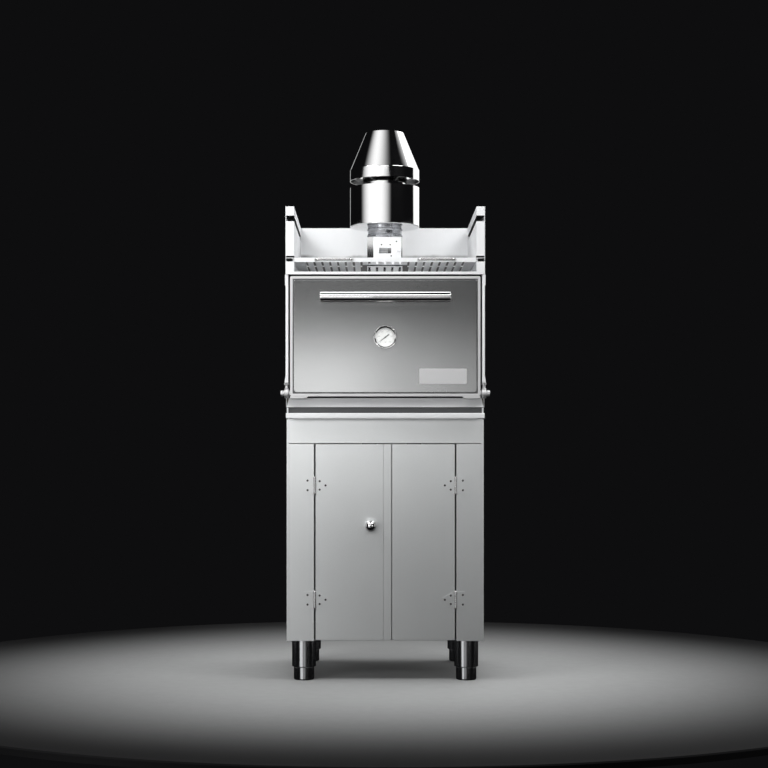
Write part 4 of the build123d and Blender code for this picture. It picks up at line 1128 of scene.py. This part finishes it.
def flue(finish, neck_finish):
    """Four shells about one axis: beaded neck, spun drum with a hole in its floor, plain stack and conical hood.

    Each bead swells the neck as a bell curve of the height."""
    axis = middle("flue_neck") * (1, 1, 0)

    def shell(name, line, segments, shell_finish, node):
        turned_piece(name, wall_profile(line, flue_sheet), axis, 2, segments, shell_finish, "cabinet", node, "ring")

    neck_low, neck_high = low("flue_neck")[2], high("flue_neck")[2]
    neck_radius = high("flue_neck")[0] - bead_reach
    height = np.linspace(neck_low, neck_high, 80)
    swell = sum(bead_swell * np.exp(-((height - bead) / bead_half_width) ** 2)
                for bead in (neck_low + bead_inset, neck_high - bead_inset))
    shell("beaded_flue_neck", np.column_stack([neck_radius + swell, height]), 96, neck_finish, "flue_neck")

    drum_low, drum_high, drum_radius = low("firebreak_drum")[2], high("firebreak_drum")[2], high("firebreak_drum")[0]
    line = rounded([(drum_hole, drum_low), (drum_radius, drum_low), (drum_radius, drum_high)],
                   [0, drum_round, 0], 6, closed=False)
    shell("spun_firebreak_drum", line, 144, finish, "firebreak_drum")

    stack_radius = high("inner_stack")[0]
    line = [(stack_radius, low("inner_stack")[2]), (stack_radius, high("inner_stack")[2])]
    shell("rolled_inner_stack", line, 96, finish, "inner_stack")

    hood_low, hood_high, hood_radius = low("flue_hood")[2], high("flue_hood")[2], high("flue_hood")[0]
    line = rounded([(hood_radius, hood_low), (hood_radius, hood_low + hood_skirt), (hood_top_radius, hood_high)],
                   [0, hood_round, 0], 4, closed=False)
    shell("spun_flue_hood", line, 144, finish, "flue_hood")


# Stage: floor, lights and camera

def stage():
    """A round floor a little below the feet, which mirrors don't show, and a near-black studio round it."""
    rim = floor_radius + floor_edge
    disc = [(0, -floor_drop), (floor_radius, -floor_drop), (rim, -floor_edge), (rim, -floor_thickness),
            (0, -floor_thickness)]
    grid = turned(disc, (0, 0, 0), 2, 160)
    mesh = tidy_mesh("floor", grid.reshape(-1, 3), quads(*grid.shape[:2], False).tolist())
    floor = in_scene("floor", mesh)
    floor.data.materials.append(pale_floor_finish())
    floor.visible_glossy = False
    floor.visible_shadow = False

    world = bpy.data.worlds.new("studio")
    world.use_nodes = True
    background = world.node_tree.nodes["Background"]
    background.inputs["Color"].default_value = linear("#0E0E0F")
    background.inputs["Strength"].default_value = 1.0
    bpy.context.scene.world = world
    bpy.context.scene.view_settings.view_transform = "Standard"


def softbox(name, place, target, size, brightness, fade=0.0):
    """A rectangular light; its power is brightness times pi times its area, so brightness is how white a mirror
    shows it. From each side its brightness rises as 3t²-2t³ over the faded share of its width."""
    light = bpy.data.lights.new(name, "AREA")
    light.shape = "RECTANGLE"
    light.size, light.size_y = size
    light.energy = brightness * math.pi * size[0] * size[1]
    if fade:
        light.use_nodes = True
        tree = light.node_tree
        across = add(tree, "ShaderNodeSeparateXYZ", inputs={
            "Vector": add(tree, "ShaderNodeNewGeometry").outputs["Parametric"]}).outputs["X"]
        rise = add(tree, "ShaderNodeMapRange", {"interpolation_type": "SMOOTHSTEP"}, {
            "Value": across, "From Min": 0.0, "From Max": fade})
        fall = add(tree, "ShaderNodeMapRange", {"interpolation_type": "SMOOTHSTEP"}, {
            "Value": across, "From Min": 1.0, "From Max": 1.0 - fade})
        strength = add(tree, "ShaderNodeMath", {"operation": "MULTIPLY"}, {
            0: rise.outputs["Result"], 1: fall.outputs["Result"]})
        tree.links.new(strength.outputs["Value"], tree.nodes["Emission"].inputs["Strength"])
    aimed(light, place, target).visible_camera = False


def aimed(light, place, target):
    """Puts a light in the scene at its place, turned to shine on its target."""
    lamp = in_scene(light.name, light)
    lamp.location = place
    lamp.rotation_euler = (Vector(target) - Vector(place)).to_track_quat("-Z", "Y").to_euler()
    return lamp


def around(centre, azimuth, elevation, distance):
    """A place seen from the centre at an angle round from the front, positive to the right, and an angle up."""
    turn, rise = math.radians(azimuth), math.radians(elevation)
    way = np.array([math.sin(turn) * math.cos(rise), -math.cos(turn) * math.cos(rise), math.sin(rise)])
    return tuple(np.asarray(centre) + distance * way)


def lights():
    """Softboxes, each group for the faces or bands named above it. Some places are angles round the flue's axis."""
    # The flue's axis at the heights of the drum's and of the cone's middle
    flue_axis = (0.0, float(middle("flue_neck")[1]), 1.55)
    cone_axis = (0.0, flue_axis[1], 1.68)
    # Bright bands of the drum and of the cone, their right edges, and thin lines at both edges
    softbox("drum_softbox", around(flue_axis, -31, 8.4, 1.5), flue_axis, (3.9, 0.36), 1.35, 0.42)
    softbox("cone_softbox", (-0.23, -0.28, 2.25), (-0.1, -0.02, 1.75), (1.05, 0.5), 1.25, 0.5)
    softbox("cone_right_softbox", around(cone_axis, 115, 42, 0.9), cone_axis, (1.2, 0.45), 1.4, 0.5)
    softbox("right_rear_softbox", around(flue_axis, 134, 30, 2.2), flue_axis, (2.5, 2.4), 1.5, 0.12)
    softbox("left_rear_softbox", around(flue_axis, -163, 20, 2.2), flue_axis, (0.5, 1.6), 0.5)
    # Oven door from left to right: bright at its lower left, dark at its upper right
    for index, (x, width, brightness) in enumerate(((-0.55, 0.4, 2.3), (-0.2, 0.3, 3.0), (0.1, 0.3, 1.5),
                                                    (0.4, 0.3, 1.0))):
        softbox(f"middle_softbox_{index}", (x, -1.9, 0.97), (x, 0, 0.97), (width, 0.38), brightness)
    # Cupboard: bright on the left, and the bands of the legs
    softbox("left_softbox", (-1.3, -1.9, 1.1), (-1.3, 0, 1.1), (0.8, 0.5), 4.5)
    softbox("low_left_softbox", (-1.1, -1.9, 0.25), (-1.1, 0, 0.25), (1.0, 1.3), 1.3)
    softbox("low_right_softbox", (1.2, -1.9, 0.6), (0.9, 0, 0.6), (0.8, 1.0), 1.2)
    softbox("leg_softbox", (-0.15, -1.9, -0.12), (-0.15, 0, -0.12), (1.5, 0.25), 0.6, 0.5)
    # Rack, flue box and the handle's upper edge, from above
    softbox("front_strip_softbox", (0, -1.5, 2.07), (0, -0.3, 1.2), (0.7, 0.4), 2.4)
    for side, x, brightness in (("left", -1.3, 9.5), ("right", 1.3, 8.5)):
        softbox(f"upper_{side}_softbox", (x, -1.3, 2.6), (0, -0.1, 1.3), (1.2, 0.8), brightness)
    softbox("overhead_softbox", (0, 0.55, 3.5), (0, 0.55, 0), (1.4, 1.2), 2.6)
    softbox("rear_overhead_softbox", (0, 1.7, 2.9), (0, 0.3, 1.0), (1.6, 0.8), 1.6)
    # Back and sides, for other views
    softbox("back_softbox", (0, 2.2, 1.0), (0, 0.3, 1.0), (1.8, 1.4), 0.8)
    for side, x in (("left", -1.9), ("right", 1.9)):
        softbox(f"{side}_side_softbox", (x, 0.5, 0.75), (0, 0.5, 0.75), (2.0, 1.4), 0.8)
    dial_spot()


def dial_spot():
    """A narrow lamp at the upper right that whitens the dial and throws the bezel's shadow on it."""
    light = bpy.data.lights.new("dial_spot", "SPOT")
    light.energy = dial_lamp_power
    light.spot_size = math.radians(dial_lamp_cone)
    light.spot_blend = dial_lamp_blend
    light.shadow_soft_size = dial_lamp_radius
    dial = Vector((0, *middle("thermometer_dial")[1:]))
    aimed(light, dial + Vector(dial_lamp_place), dial)


def camera():
    """Level, facing the oven's front, with its frame shifted to the photograph's."""
    view = bpy.data.cameras.new("camera")
    view.lens = camera_lens
    view.sensor_width = camera_sensor
    view.shift_x, view.shift_y = camera_shift
    eye = in_scene("camera", view)
    eye.location = camera_place
    eye.rotation_euler = (math.pi / 2, 0, 0)
    bpy.context.scene.camera = eye


finishes = {
    "skin": blasted_skin_steel(),
    "door": blasted_door_steel(),
    "satin": satin_rack_steel(),
    "rim": bright_rim_steel(),
    "back_shade": heat_tinted_steel(),
    "black_shade": blackened_steel(),
    "grey_shade": smoked_steel(),
    "mirror": mirror_tube_steel(),
    "neck_shade": dulled_tube_steel(),
    "drawn": drawn_tube_steel(),
    "turned": turned_steel(),
    "liner": liner_steel(),
    "rod": grill_rod_steel(),
    "iron": cast_iron(),
    "wool": mineral_wool(),
    "rope": glass_rope(),
    "screw": blackened_screw_steel(),
    "plastic": catch_plastic(),
    "enamel": dial_enamel(),
    "print": scale_print(),
    "needle": needle_paint(),
    "glass": gauge_glass(),
}

sheet_metal(finishes)
legs(finishes["drawn"])
knob(finishes["mirror"])
cupboard_hinges(finishes["skin"], finishes["turned"], finishes["screw"])
door_panel(finishes["door"], finishes["grey_shade"])
door_plate(finishes["rim"])
handle(finishes["mirror"])
rope_seal(finishes["rope"])
door_hangers(finishes["rim"])
thermometer(finishes)
shelf_grips(finishes["turned"])
inlet_blades(finishes["satin"])
flue(finishes["mirror"], finishes["neck_shade"])

stage()
lights()
camera()
